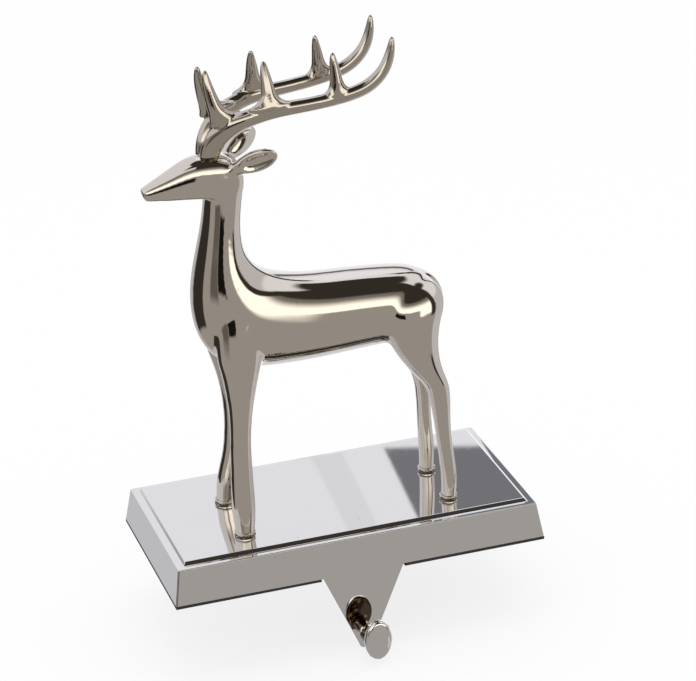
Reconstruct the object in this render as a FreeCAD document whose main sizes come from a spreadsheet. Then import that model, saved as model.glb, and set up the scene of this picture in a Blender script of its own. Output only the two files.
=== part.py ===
"""Mantel stocking holder: a cast stag on a hollow drafted base, with a hook at the front edge.

Millimetres. +Z is up, X runs along the base (the stag faces -X) and the hook side is -Y.
The origin is the centre of the pad's underside, the face that stands on the mantel shelf.
"""
import FreeCAD, Part
import math
import os

import Sketcher
from FreeCAD import Vector

AHEAD = Vector(1, 0, 0)
SIDE = Vector(0, 1, 0)
UP = Vector(0, 0, 1)
LEFT = -1
RIGHT = 1

# Driving dimensions: alias, value and what it measures.
SIZES = [
    ("base_length", 160.0, "base length at the foot of its walls"),
    ("base_width", 82.0, "base width at the foot of its walls"),
    ("wall_height", 15.1, "base height from the foot of the walls to the rim"),
    ("draft_inset", 2.44, "how far each wall leans in from foot to rim"),
    ("corner_radius", 1.2, "radius of the base's drafted corners"),
    ("rim_width", 3.0, "flat rim round the raised plate"),
    ("plate_rise", 1.4, "raised plate above the rim"),
    ("plate_bevel", 1.0, "sloping edge of the raised plate"),
    ("top_thickness", 3.5, "base top between the hollow and the rim"),
    ("wall_thickness", 4.5, "wall at its foot"),
    ("pad_thickness", 1.2, "felt pad"),
    ("pad_inset", 0.4, "felt pad in from the foot of the walls"),
    ("tab_width", 35.0, "hook tab where it leaves the base"),
    ("tab_tip_width", 4.2, "hook tab across its blunt tip"),
    ("tab_drop", 36.0, "tab below the base"),
    ("tab_thickness", 3.5, "tab front to back"),
    ("tab_clearance", 0.6, "pad notch round the tab"),
    ("hook_shift", 1.0, "hook button to the right of the tab's middle"),
    ("hook_drop", 25.4, "hook button's middle below the foot of the walls"),
    ("peg_diameter", 6.0, "peg between tab and button"),
    ("peg_low", 3.9, "peg axis below the button's middle"),
    ("hook_gap", 11.4, "clear depth between tab and button"),
    ("button_width", 11.7, "oval button across"),
    ("button_height", 18.0, "oval button upright"),
    ("button_thickness", 4.2, "oval button front to back"),
    ("button_round", 1.7, "rounding of the button's edges"),
    ("ballast_clearance", 5.5, "ballast plate in from the walls of the hollow"),
    ("ballast_thickness", 6.0, "ballast plate"),
    ("ballast_corner", 6.0, "ballast plate corner radius"),
    ("screw_diameter", 3.0, "screw shank"),
    ("screw_clearance", 0.4, "hole over shank, in diameter"),
    ("screw_head_diameter", 5.5, "cap of the screw"),
    ("screw_head_height", 3.0, "cap of the screw"),
    ("screw_socket", 2.5, "hexagon socket across flats"),
    ("screw_socket_depth", 1.6, "hexagon socket depth"),
    ("hoof_grip", 9.0, "screw length inside the hoof"),
    ("figure_shift", -6.0, "figure's middle plane from the base's middle"),
    ("stance_length", 88.4, "fore hooves to hind hooves"),
    ("fore_track", 30.4, "fore hooves, left to right"),
    ("hind_track", 27.0, "hind hooves, left to right"),
    ("hind_shift", -3.0, "hind pair sideways from the figure's middle plane"),
    ("leg_height", 67.0, "plate to belly"),
    ("leg_girth", 8.4, "left fore leg front to back, half way down"),
    ("body_depth", 38.0, "belly to back"),
    ("body_width", 32.0, "torso across its middle"),
    ("neck_rise", 46.0, "withers to poll"),
    ("neck_depth", 33.0, "neck front to back at its foot, square to its line"),
    ("neck_width", 27.2, "neck side to side at its foot"),
    ("head_length", 40.0, "poll to snout"),
    ("head_width", 17.6, "head across the brow"),
    ("ear_length", 20.5, "ear from root to tip"),
    ("ear_width", 9.4, "ear across its middle"),
    ("ear_thickness", 6.2, "ear from back to lip"),
    ("tail_width", 9.6, "tail across its middle"),
    ("antler_reach", 74.2, "antler from pedicle to rear tip, along X"),
    ("antler_rise", 39.0, "antler from pedicle to tine tips"),
    ("antler_spread", 20.4, "beam to beam at the rear tips"),
    ("antler_girth", 9.0, "antler beam along the head at its foot"),
    ("antler_socket", 2.0, "antler foot below the top of the head"),
    ("right_antler_lift", 2.3, "right antler turned up about its foot, in degrees"),
]

# Torso and neck, from rump to poll. Each row is a section across the figure: place along the stance as a
# share of half its length, height over the belly as a share of the depth, lean of the section from
# upright in degrees, then half depth and half width as shares of the body's.
TORSO_ROWS = [
    (1.068, 0.36, 0.0, 0.14, 0.16),
    (1.028, 0.37, 0.0, 0.30, 0.31),
    (0.945, 0.42, 0.0, 0.39, 0.42),
    (0.815, 0.46, 0.0, 0.425, 0.475),
    (0.610, 0.48, 0.0, 0.445, 0.490),
    (0.225, 0.49, 0.0, 0.475, 0.490),
    (-0.115, 0.485, 0.0, 0.490, 0.495),
    (-0.385, 0.51, 0.0, 0.505, 0.505),
    (-0.685, 0.56, 15.8, 0.540, 0.515),
    (-0.865, 0.675, 24.0, 0.545, 0.505),
    (-0.985, 0.865, 32.6, 0.515, 0.478),
]
# The neck's rows give height over the withers as a share of the neck's rise instead, and half depth and
# half width as shares of the neck's own.
NECK_ROWS = [
    (-1.036, 0.045, 42.0, 0.50, 0.50),
    (-1.028, 0.275, 47.6, 0.42, 0.43),
    (-0.988, 0.480, 53.4, 0.34, 0.37),
    (-0.952, 0.660, 59.5, 0.30, 0.34),
    (-0.935, 0.820, 68.0, 0.27, 0.32),
    (-0.940, 0.970, 75.0, 0.24, 0.29),
]
WITHERS_SHARE = 1.075
POLL_SHARE = 0.93

# Head, from snout to nape: distance behind the snout as a share of the head's length, then height of the
# roof and of the jaw over the poll as shares of the same length, and half width as a share of the head's.
HEAD_ROWS = [
    (0.000, -0.054, -0.179, 0.165),
    (0.100, -0.004, -0.181, 0.222),
    (0.190, 0.041, -0.184, 0.273),
    (0.290, 0.091, -0.186, 0.330),
    (0.500, 0.206, -0.191, 0.440),
    (0.640, 0.191, -0.216, 0.490),
    (0.840, 0.179, -0.234, 0.500),
    (0.990, 0.116, -0.209, 0.430),
]
SNOUT_AHEAD = 0.8375
# Half of a head section, from the middle of the roof to the middle of the jaw: share of the half width
# and of the height.
HEAD_OUTLINE = [
    (0.00, 1.00),
    (0.45, 0.93),
    (0.82, 0.74),
    (1.00, 0.46),
    (0.96, 0.20),
    (0.72, 0.02),
    (0.36, 0.00),
    (0.00, 0.00),
]
CROWN_SHARE = 0.19

# Legs, from inside the torso to the hoof: height as a share of the leg, offset along X from the hoof as a
# share of the girth, sideways share of the track, then half thickness along and across as shares of the
# girth.
LEFT_FORE_ROWS = [
    (1.500, 0.40, 0.42, 0.60, 0.36),
    (1.400, 0.40, 0.56, 0.95, 0.55),
    (1.300, 0.38, 0.64, 1.10, 0.64),
    (1.200, 0.35, 0.72, 1.12, 0.70),
    (1.141, 0.31, 0.77, 1.08, 0.74),
    (1.067, 0.29, 0.82, 0.90, 0.75),
    (0.903, 0.18, 0.89, 0.65, 0.62),
    (0.784, 0.12, 0.92, 0.54, 0.52),
    (0.650, 0.04, 0.94, 0.50, 0.49),
    (0.560, 0.00, 0.95, 0.51, 0.49),
    (0.351, -0.01, 0.97, 0.55, 0.50),
    (0.149, 0.00, 0.99, 0.62, 0.52),
    (0.067, 0.01, 1.00, 0.52, 0.49),
    (0.000, 0.00, 1.00, 0.48, 0.48),
]
RIGHT_FORE_ROWS = [
    (1.500, 0.40, 0.42, 0.60, 0.36),
    (1.400, 0.40, 0.52, 0.95, 0.55),
    (1.300, 0.38, 0.60, 1.10, 0.64),
    (1.200, 0.35, 0.66, 1.12, 0.70),
    (1.100, 0.38, 0.70, 1.00, 0.74),
    (0.948, 0.52, 0.74, 0.71, 0.62),
    (0.754, 0.64, 0.78, 0.55, 0.50),
    (0.575, 0.64, 0.82, 0.50, 0.48),
    (0.381, 0.55, 0.88, 0.50, 0.48),
    (0.261, 0.35, 0.94, 0.54, 0.50),
    (0.157, 0.19, 0.97, 0.56, 0.52),
    (0.067, 0.11, 1.00, 0.51, 0.49),
    (0.000, 0.05, 1.00, 0.48, 0.48),
]
LEFT_HIND_ROWS = [
    (1.425, -1.07, 0.20, 0.60, 0.36),
    (1.360, -1.23, 0.34, 1.13, 0.67),
    (1.290, -1.33, 0.44, 1.43, 0.83),
    (1.230, -1.38, 0.50, 1.45, 0.89),
    (1.171, -1.40, 0.56, 1.38, 0.93),
    (1.037, -1.33, 0.68, 1.15, 0.86),
    (0.918, -0.98, 0.80, 0.87, 0.74),
    (0.851, -0.69, 0.86, 0.74, 0.64),
    (0.791, -0.39, 0.90, 0.62, 0.58),
    (0.731, -0.20, 0.92, 0.50, 0.50),
    (0.619, -0.11, 0.94, 0.39, 0.42),
    (0.500, -0.10, 0.96, 0.35, 0.37),
    (0.351, -0.05, 0.98, 0.37, 0.38),
    (0.142, 0.10, 1.00, 0.43, 0.43),
    (0.067, 0.06, 1.00, 0.40, 0.40),
    (0.000, 0.00, 1.00, 0.39, 0.39),
]
RIGHT_HIND_ROWS = [
    (1.425, -1.07, 0.30, 0.60, 0.36),
    (1.360, -1.23, 0.52, 1.13, 0.67),
    (1.290, -1.33, 0.68, 1.43, 0.83),
    (1.230, -1.38, 0.76, 1.45, 0.89),
    (1.171, -1.40, 0.82, 1.38, 0.93),
    (1.037, -1.31, 0.92, 1.15, 0.86),
    (0.918, -0.88, 0.96, 0.83, 0.71),
    (0.799, -0.40, 0.98, 0.62, 0.58),
    (0.679, -0.13, 1.00, 0.46, 0.45),
    (0.560, -0.06, 1.00, 0.39, 0.40),
    (0.381, -0.06, 1.00, 0.38, 0.39),
    (0.172, 0.04, 1.00, 0.43, 0.43),
    (0.082, 0.02, 1.00, 0.40, 0.40),
    (0.000, 0.00, 1.00, 0.39, 0.39),
]

# Antler, from its foot: reach along X and rise as shares of the antler's, sideways share of half the
# spread, and half thickness as a share of the girth.
BEAM_ROWS = [
    (-0.013, -0.090, 0.45, 0.43),
    (-0.008, 0.000, 0.47, 0.47),
    (0.000, 0.103, 0.49, 0.50),
    (0.015, 0.200, 0.51, 0.50),
    (0.057, 0.318, 0.59, 0.49),
    (0.116, 0.408, 0.73, 0.46),
    (0.191, 0.469, 0.84, 0.40),
    (0.323, 0.528, 0.93, 0.34),
    (0.478, 0.531, 0.96, 0.30),
    (0.627, 0.549, 0.98, 0.30),
    (0.782, 0.585, 1.00, 0.31),
    (0.875, 0.651, 1.00, 0.32),
    (0.947, 0.779, 1.00, 0.29),
    (0.980, 0.926, 1.00, 0.24),
    (0.992, 1.044, 1.00, 0.17),
    (0.995, 1.133, 1.00, 0.08),
]
TINE_ROWS = [
    [
        (0.050, 0.390, 0.59, 0.40),
        (0.027, 0.545, 0.55, 0.36),
        (0.009, 0.692, 0.46, 0.30),
        (-0.004, 0.838, 0.37, 0.23),
        (-0.005, 0.931, 0.30, 0.15),
        (-0.001, 0.974, 0.27, 0.07),
    ],
    [
        (0.315, 0.533, 0.93, 0.38),
        (0.311, 0.662, 0.88, 0.36),
        (0.309, 0.777, 0.80, 0.29),
        (0.305, 0.887, 0.69, 0.22),
        (0.303, 0.964, 0.60, 0.15),
        (0.303, 1.015, 0.57, 0.07),
    ],
    [
        (0.685, 0.551, 0.99, 0.36),
        (0.686, 0.654, 0.97, 0.34),
        (0.678, 0.790, 0.93, 0.26),
        (0.674, 0.908, 0.88, 0.19),
        (0.671, 0.982, 0.85, 0.13),
        (0.673, 1.028, 0.83, 0.06),
    ],
]
FOOT_AHEAD_SHARE = 0.13
# The limbs of an antler are a little narrower across the head than along it.
ANTLER_FLATNESS = 0.86

# Ear: share of its length, half width as a share of the width, and half thickness as a share of the
# thickness.
EAR_ROWS = [
    (0.00, 0.20, 0.33),
    (0.22, 0.34, 0.42),
    (0.50, 0.50, 0.50),
    (0.78, 0.42, 0.44),
    (1.00, 0.08, 0.12),
]
# The ear's line runs back, out and up, and its hollow faces forward, out and down.
EAR_BACK = 0.80
EAR_OUT = 0.46
EAR_LIFT = 0.385
EAR_FACING = (-0.61, 0.74, -0.31)
SCOOP_OUT = 0.75
SCOOP_DEPTH = 0.85
SCOOP_WIDTH = 0.78
EAR_ROOT_BEHIND = 0.93
EAR_ROOT_HEIGHT = 0.045
EAR_ROOT_OUT = 0.34

# Tail, lying on the rump: place along the stance and height over the belly as in the torso, half
# thickness and half width as shares of the tail's width.
TAIL_ROWS = [
    (0.690, 0.885, 0.21, 0.23),
    (0.860, 0.840, 0.29, 0.46),
    (1.010, 0.710, 0.31, 0.50),
    (1.085, 0.510, 0.25, 0.38),
    (1.110, 0.330, 0.09, 0.12),
]

SECTION_POINTS = 12


doc = FreeCAD.newDocument("StockingHolder")
sheet = doc.addObject("Spreadsheet::Sheet", "Sizes")
for row, (alias, value, note) in enumerate(SIZES, start=1):
    sheet.set(f"A{row}", note)
    sheet.set(f"B{row}", str(value))
    sheet.setAlias(f"B{row}", alias)
doc.recompute()


def size(alias):
    """Return a driving dimension from the sheet."""
    return float(sheet.get(alias))


# Heights above the pad's underside that several pieces share.
FOOT_Z = size("pad_thickness")
PLATE_Z = FOOT_Z + size("wall_height") + size("plate_rise")
BELLY_Z = PLATE_Z + size("leg_height")
WITHERS_Z = BELLY_Z + WITHERS_SHARE * size("body_depth")
POLL_Z = WITHERS_Z + size("neck_rise")
HALF_STANCE = size("stance_length") / 2
FORE_X = -HALF_STANCE
POLL_X = FORE_X * POLL_SHARE
SNOUT_X = POLL_X - SNOUT_AHEAD * size("head_length")


def hooves():
    """Return each hoof's centre on the plate: left fore, right fore, left hind, right hind."""
    fore = size("fore_track") / 2
    hind = size("hind_track") / 2
    middle = size("figure_shift")
    hind_middle = middle + size("hind_shift")
    return [
        Vector(FORE_X, middle - fore, PLATE_Z),
        Vector(FORE_X, middle + fore, PLATE_Z),
        Vector(HALF_STANCE, hind_middle - hind, PLATE_Z),
        Vector(HALF_STANCE, hind_middle + hind, PLATE_Z),
    ]


def origin_plane(body, role):
    """Return one of a body's own origin planes."""
    return next(item for item in body.Origin.OriginFeatures if item.Role == role)


def new_body(name):
    """Return an empty body with its own label."""
    body = doc.addObject("PartDesign::Body", name)
    body.Label = name
    return body


def new_sketch(body, name, role, offset=None):
    """Return a sketch on one of the body's planes, raised along its normal by an expression."""
    sketch = body.newObject("Sketcher::SketchObject", name)
    sketch.AttachmentSupport = (origin_plane(body, role), [""])
    sketch.MapMode = "FlatFace"
    if offset:
        sketch.setExpression(".AttachmentOffset.Base.z", offset)
    return sketch


def constrain(sketch, constraint, expression):
    """Add a dimension to a sketch and bind it to the sheet."""
    index = sketch.addConstraint(constraint)
    sketch.setExpression(f"Constraints[{index}]", expression)
    return index


def worked_out(expression):
    """Return the value of an expression in the sheet's aliases."""
    return float(sheet.evalExpression(expression))


def place_point(sketch, geometry, end, x, y):
    """Fix one point of a sketch from the origin by two expressions."""
    for kind, axis, expression in (("DistanceX", -2, x), ("DistanceY", -1, y)):
        value = worked_out(expression)
        if abs(value) < 1e-9:
            sketch.addConstraint(Sketcher.Constraint("PointOnObject", geometry, end, axis))
        else:
            constrain(sketch, Sketcher.Constraint(kind, -1, 1, geometry, end, value), expression)


def draw_polygon(sketch, corners):
    """Draw a closed outline whose corners are pairs of expressions."""
    points = [Vector(worked_out(x), worked_out(y), 0) for x, y in corners]
    count = len(points)
    for index in range(count):
        sketch.addGeometry(Part.LineSegment(points[index], points[(index + 1) % count]), False)
    for index in range(count):
        sketch.addConstraint(Sketcher.Constraint("Coincident", index, 2, (index + 1) % count, 1))
    for index, (x, y) in enumerate(corners):
        place_point(sketch, index, 1, x, y)


def draw_rectangle(sketch, half_length, half_width):
    """Draw a rectangle about the origin."""
    west, south = f"-({half_length})", f"-({half_width})"
    corners = [(west, south), (half_length, south), (half_length, half_width), (west, half_width)]
    draw_polygon(sketch, corners)


def draw_rounded_rectangle(sketch, half_length, half_width, radius):
    """Draw a rectangle about the origin with four equal round corners."""
    reach_x, reach_y = f"({half_length} - {radius})", f"({half_width} - {radius})"
    west, south = f"-{reach_x}", f"-{reach_y}"
    centres = [(reach_x, reach_y), (west, reach_y), (west, south), (reach_x, south)]
    bend = worked_out(radius)
    arcs, starts, ends = [], [], []
    for turn, (x, y) in enumerate(centres):
        circle = Part.Circle(Vector(worked_out(x), worked_out(y), 0), UP, bend)
        arc = Part.ArcOfCircle(circle, turn * math.pi / 2, (turn + 1) * math.pi / 2)
        starts.append(arc.StartPoint)
        ends.append(arc.EndPoint)
        arcs.append(sketch.addGeometry(arc, False))
    lines = []
    for turn in range(4):
        side = Part.LineSegment(ends[turn], starts[(turn + 1) % 4])
        lines.append(sketch.addGeometry(side, False))
    for turn in range(4):
        sketch.addConstraint(Sketcher.Constraint("Tangent", arcs[turn], 2, lines[turn], 1))
        sketch.addConstraint(Sketcher.Constraint("Tangent", lines[turn], 2, arcs[(turn + 1) % 4], 1))
        place_point(sketch, arcs[turn], 3, *centres[turn])
    constrain(sketch, Sketcher.Constraint("Radius", arcs[0], bend), radius)
    for turn in (1, 2, 3):
        sketch.addConstraint(Sketcher.Constraint("Equal", arcs[0], arcs[turn]))


def draw_circle(sketch, x, y, diameter):
    """Draw a circle from expressions for its centre and diameter."""
    centre = Vector(worked_out(x), worked_out(y), 0)
    circle = sketch.addGeometry(Part.Circle(centre, UP, worked_out(diameter) / 2), False)
    place_point(sketch, circle, 3, x, y)
    constrain(sketch, Sketcher.Constraint("Diameter", circle, worked_out(diameter)), diameter)


def draw_upright_oval(sketch, x, y, width, height):
    """Draw an ellipse whose long axis is upright."""
    centre = Vector(worked_out(x), worked_out(y), 0)
    top = centre + Vector(0, worked_out(height) / 2, 0)
    flank = centre + Vector(worked_out(width) / 2, 0, 0)
    oval = sketch.addGeometry(Part.Ellipse(top, flank, centre), False)
    sketch.exposeInternalGeometry(oval)
    long_axis, short_axis = oval + 1, oval + 2
    sketch.addConstraint(Sketcher.Constraint("Vertical", long_axis))
    constrain(sketch, Sketcher.Constraint("Distance", long_axis, worked_out(height)), height)
    constrain(sketch, Sketcher.Constraint("Distance", short_axis, worked_out(width)), width)
    place_point(sketch, oval, 3, x, y)


def pad(body, name, sketch, length, upward=True):
    """Extrude a sketch by an expression."""
    feature = body.newObject("PartDesign::Pad", name)
    feature.Profile = sketch
    feature.setExpression("Length", length)
    feature.Reversed = not upward
    return feature


def pocket(body, name, sketch, length):
    """Cut a sketch on the lower side of a body upwards by an expression."""
    doc.recompute()
    before = body.Shape.Volume
    feature = body.newObject("PartDesign::Pocket", name)
    feature.Profile = sketch
    feature.setExpression("Length", length)
    feature.Reversed = True
    doc.recompute()
    if body.Shape.Volume > before - 1e-6:
        raise RuntimeError(f"{name} cuts nothing")
    return feature


def loft(body, name, lower, upper):
    """Join two parallel sketches with straight walls."""
    feature = body.newObject("PartDesign::AdditiveLoft", name)
    feature.Profile = lower
    feature.Sections = [upper]
    feature.Ruled = True
    return feature


def fillet_edges(body, name, wanted, radius):
    """Round the edges of a body's last feature that a test picks out."""
    doc.recompute()
    base = body.Tip
    names = [f"Edge{index}" for index, edge in enumerate(base.Shape.Edges, start=1) if wanted(edge)]
    feature = body.newObject("PartDesign::Fillet", name)
    feature.Base = (base, names)
    feature.setExpression("Radius", radius)
    return feature


def draw_hoof_holes(sketch, diameter):
    """Draw one circle under each hoof."""
    for track, middle, x in (
        ("Sizes.fore_track", "Sizes.figure_shift", "-Sizes.stance_length / 2"),
        ("Sizes.hind_track", "Sizes.figure_shift + Sizes.hind_shift", "Sizes.stance_length / 2"),
    ):
        for side in ("-", "+"):
            draw_circle(sketch, x, f"{middle} {side} {track} / 2", diameter)


def lift_body(body, height):
    """Set a body on its own height over the pad's underside."""
    body.setExpression(".Placement.Base.z", height)


def make_base_casting():
    """The hollow base with its plate, the hanging tab, the peg and the oval button, in one casting."""
    body = new_body("base_casting")
    foot = new_sketch(body, "WallFoot", "XY_Plane")
    draw_rounded_rectangle(foot, "Sizes.base_length / 2", "Sizes.base_width / 2", "Sizes.corner_radius")
    rim = new_sketch(body, "WallRim", "XY_Plane", "Sizes.wall_height")
    rim_length, rim_width = (f"Sizes.base_{side} / 2 - Sizes.draft_inset" for side in ("length", "width"))
    draw_rounded_rectangle(rim, rim_length, rim_width, "Sizes.corner_radius")
    loft(body, "Walls", foot, rim)

    plate_foot = new_sketch(body, "PlateFoot", "XY_Plane", "Sizes.wall_height")
    draw_rectangle(plate_foot, f"{rim_length} - Sizes.rim_width", f"{rim_width} - Sizes.rim_width")
    plate_top = new_sketch(body, "PlateTop", "XY_Plane", "Sizes.wall_height + Sizes.plate_rise")
    bevel = "Sizes.rim_width - Sizes.plate_bevel"
    draw_rectangle(plate_top, f"{rim_length} - {bevel}", f"{rim_width} - {bevel}")
    loft(body, "RaisedPlate", plate_foot, plate_top)

    hollow = new_sketch(body, "HollowOutline", "XY_Plane")
    draw_rectangle(
        hollow,
        "Sizes.base_length / 2 - Sizes.wall_thickness",
        "Sizes.base_width / 2 - Sizes.wall_thickness",
    )
    pocket(body, "Hollow", hollow, "Sizes.wall_height - Sizes.top_thickness")
    holes = new_sketch(body, "ScrewHoleCentres", "XY_Plane")
    draw_hoof_holes(holes, "Sizes.screw_diameter + Sizes.screw_clearance")
    pocket(body, "ScrewHoles", holes, "Sizes.wall_height + Sizes.plate_rise + 1")

    tab = new_sketch(body, "TabOutline", "XZ_Plane", "Sizes.base_width / 2 - Sizes.tab_thickness")
    draw_polygon(tab, [
        ("-Sizes.tab_width / 2", "0"),
        ("-Sizes.tab_tip_width / 2", "-Sizes.tab_drop"),
        ("Sizes.tab_tip_width / 2", "-Sizes.tab_drop"),
        ("Sizes.tab_width / 2", "0"),
    ])
    pad(body, "Tab", tab, "Sizes.tab_thickness")
    peg = new_sketch(body, "PegOutline", "XZ_Plane", "Sizes.base_width / 2 - Sizes.tab_thickness / 2")
    draw_circle(peg, "Sizes.hook_shift / 2", "-Sizes.hook_drop - Sizes.peg_low", "Sizes.peg_diameter")
    peg_length = "Sizes.tab_thickness / 2 + Sizes.hook_gap + Sizes.button_thickness / 2"
    pad(body, "Peg", peg, peg_length)
    button = new_sketch(body, "ButtonOutline", "XZ_Plane", "Sizes.base_width / 2 + Sizes.hook_gap")
    place = ("Sizes.hook_shift", "-Sizes.hook_drop")
    draw_upright_oval(button, *place, "Sizes.button_width", "Sizes.button_height")
    pad(body, "Button", button, "Sizes.button_thickness")
    lift_body(body, "Sizes.pad_thickness")

    button_back = -(size("base_width") / 2 + size("hook_gap"))
    nearly_whole = 0.9 * size("button_height")

    def button_rim(edge):
        box = edge.BoundBox
        return box.YMax < button_back + 1e-3 and box.ZLength > nearly_whole

    fillet_edges(body, "ButtonEdges", button_rim, "Sizes.button_round")
    return body


def make_felt_pad():
    """The black pad, notched round the tab."""
    body = new_body("felt_pad")
    outline = new_sketch(body, "PadOutline", "XY_Plane")
    east = "Sizes.base_length / 2 - Sizes.pad_inset"
    north = "Sizes.base_width / 2 - Sizes.pad_inset"
    notch_side = "Sizes.tab_width / 2 + Sizes.tab_clearance"
    notch_depth = "Sizes.base_width / 2 - Sizes.tab_thickness - Sizes.tab_clearance"
    draw_polygon(outline, [
        (f"-({east})", f"-({north})"),
        (f"-({notch_side})", f"-({north})"),
        (f"-({notch_side})", f"-({notch_depth})"),
        (notch_side, f"-({notch_depth})"),
        (notch_side, f"-({north})"),
        (east, f"-({north})"),
        (east, north),
        (f"-({east})", north),
    ])
    pad(body, "Felt", outline, "Sizes.pad_thickness")
    return body


def make_ballast_plate():
    """The steel slab under the base's top wall, with counterbored holes for the screws."""
    body = new_body("ballast_plate")
    outline = new_sketch(body, "SlabOutline", "XY_Plane")
    inset = "Sizes.wall_thickness - Sizes.ballast_clearance"
    half_length = f"(Sizes.base_length / 2 - {inset})"
    half_width = f"(Sizes.base_width / 2 - {inset})"
    draw_rounded_rectangle(outline, half_length, half_width, "Sizes.ballast_corner")
    pad(body, "Slab", outline, "Sizes.ballast_thickness")
    holes = new_sketch(body, "ShankHoles", "XY_Plane")
    draw_hoof_holes(holes, "Sizes.screw_diameter + Sizes.screw_clearance")
    pocket(body, "Holes", holes, "Sizes.ballast_thickness + 1")
    seats = new_sketch(body, "HeadSeats", "XY_Plane")
    draw_hoof_holes(seats, "Sizes.screw_head_diameter + 2 * Sizes.screw_clearance")
    pocket(body, "Counterbores", seats, "Sizes.screw_head_height")
    ceiling = "Sizes.pad_thickness + Sizes.wall_height - Sizes.top_thickness"
    lift_body(body, f"{ceiling} - Sizes.ballast_thickness")
    return body


def make_solid_piece(name, shape):
    """Add a piece whose shape is made directly, with its own label."""
    piece = doc.addObject("Part::Feature", name)
    piece.Label = name
    piece.Shape = shape
    return piece


def screw_base_z():
    """Return the height of the underside of the screw heads."""
    ceiling = FOOT_Z + size("wall_height") - size("top_thickness")
    return ceiling - size("ballast_thickness")


def screw_at(hoof):
    """Return one cap screw that points up into a hoof."""
    foot = Vector(hoof.x, hoof.y, screw_base_z())
    head = Part.makeCylinder(size("screw_head_diameter") / 2, size("screw_head_height"), foot, UP)
    length = hoof.z + size("hoof_grip") - foot.z
    shank = Part.makeCylinder(size("screw_diameter") / 2, length, foot, UP)
    corner = size("screw_socket") / math.sqrt(3)
    corners = []
    for turn in range(7):
        angle = math.radians(60 * turn)
        corners.append(foot + Vector(corner * math.cos(angle), corner * math.sin(angle), 0))
    socket = Part.Face(Part.makePolygon(corners)).extrude(UP * size("screw_socket_depth"))
    return head.fuse(shank).cut(socket).removeSplitter()


def make_figure_screws():
    """The four equal screws from below, one into each hoof."""
    return make_solid_piece("figure_screws", Part.makeCompound([screw_at(hoof) for hoof in hooves()]))


def oval_wire(centre, up, side, half_up, half_side, seam_on_top=False):
    """Return a smooth closed section through points spread evenly round an ellipse.

    A section with its seam on top starts and ends there level, which the long loft of the trunk needs.
    """
    points = []
    for index in range(SECTION_POINTS):
        turn = 2 * math.pi * index / SECTION_POINTS
        points.append(centre + up * (half_up * math.cos(turn)) + side * (half_side * math.sin(turn)))
    curve = Part.BSplineCurve()
    if seam_on_top:
        level = side * half_side
        curve.interpolate(Points=points + points[:1], InitialTangent=level, FinalTangent=level)
    else:
        curve.interpolate(Points=points, PeriodicFlag=True)
    return Part.Wire([curve.toShape()])


def lofted(wires):
    """Return the solid through a run of sections."""
    solid = Part.makeLoft(wires, True, False)
    if solid.Volume < 0:
        solid.reverse()
    return solid


def tube(points, radii, flatness):
    """Return a tapering limb whose sections stand square to its line."""
    wires = []
    for index, (point, radius) in enumerate(zip(points, radii)):
        ahead = points[min(index + 1, len(points) - 1)]
        behind = points[max(index - 1, 0)]
        along = (ahead - behind).normalize()
        up = along.cross(SIDE).normalize()
        wires.append(oval_wire(point, up, along.cross(up), radius, radius * flatness))
    return lofted(wires)


def figure_y():
    """Return the figure's middle plane."""
    return size("figure_shift")


def trunk_section(place, height, lean, half_depth, half_width):
    """Return one section of the torso or neck at an actual height."""
    angle = math.radians(lean)
    up = Vector(math.sin(angle), 0, math.cos(angle))
    centre = Vector(place * HALF_STANCE, figure_y(), height)
    return oval_wire(centre, up, SIDE, half_depth, half_width, seam_on_top=True)


def trunk_sections(rows, foot, rise, depth, width):
    """Return the sections of a stretch of the trunk from its rows, its foot's height and its sizes."""
    return [
        trunk_section(place, foot + share * rise, lean, half_depth * depth, half_width * width)
        for place, share, lean, half_depth, half_width in rows
    ]


def make_trunk():
    """Return the torso and neck as one loft from rump to poll."""
    depth = size("body_depth")
    torso = trunk_sections(TORSO_ROWS, BELLY_Z, depth, depth, size("body_width"))
    neck = trunk_sections(NECK_ROWS, WITHERS_Z, size("neck_rise"), size("neck_depth"), size("neck_width"))
    return lofted(torso + neck)


def head_section(behind, roof, jaw, half_width):
    """Return a head section: a round roof over flatter cheeks and a narrow jaw."""
    length = size("head_length")
    half = half_width * size("head_width")
    top = POLL_Z + roof * length
    bottom = POLL_Z + jaw * length
    mirrored = [(-across, up) for across, up in reversed(HEAD_OUTLINE[1:-1])]
    points = [
        Vector(SNOUT_X + behind * length, figure_y() + across * half, bottom + up * (top - bottom))
        for across, up in HEAD_OUTLINE + mirrored
    ]
    curve = Part.BSplineCurve()
    curve.interpolate(Points=points, PeriodicFlag=True)
    return Part.Wire([curve.toShape()])


def make_head():
    """Return the wedge of the head with its blunt cut snout."""
    return lofted([head_section(*row) for row in HEAD_ROWS])


def make_leg(rows, hoof):
    """Return one leg from inside the torso down to its flat hoof."""
    girth = size("leg_girth")
    reach = hoof.y - figure_y()
    wires = []
    for height, shift, spread, half_along, half_across in rows:
        x = hoof.x + shift * girth
        centre = Vector(x, figure_y() + reach * spread, PLATE_Z + height * size("leg_height"))
        wires.append(oval_wire(centre, AHEAD, SIDE, half_along * girth, half_across * girth))
    return lofted(list(reversed(wires)))


def ear_root(hand):
    """Return where an ear leaves the head."""
    return Vector(
        SNOUT_X + EAR_ROOT_BEHIND * size("head_length"),
        figure_y() + hand * EAR_ROOT_OUT * size("head_width"),
        POLL_Z + EAR_ROOT_HEIGHT * size("head_length"),
    )


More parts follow.
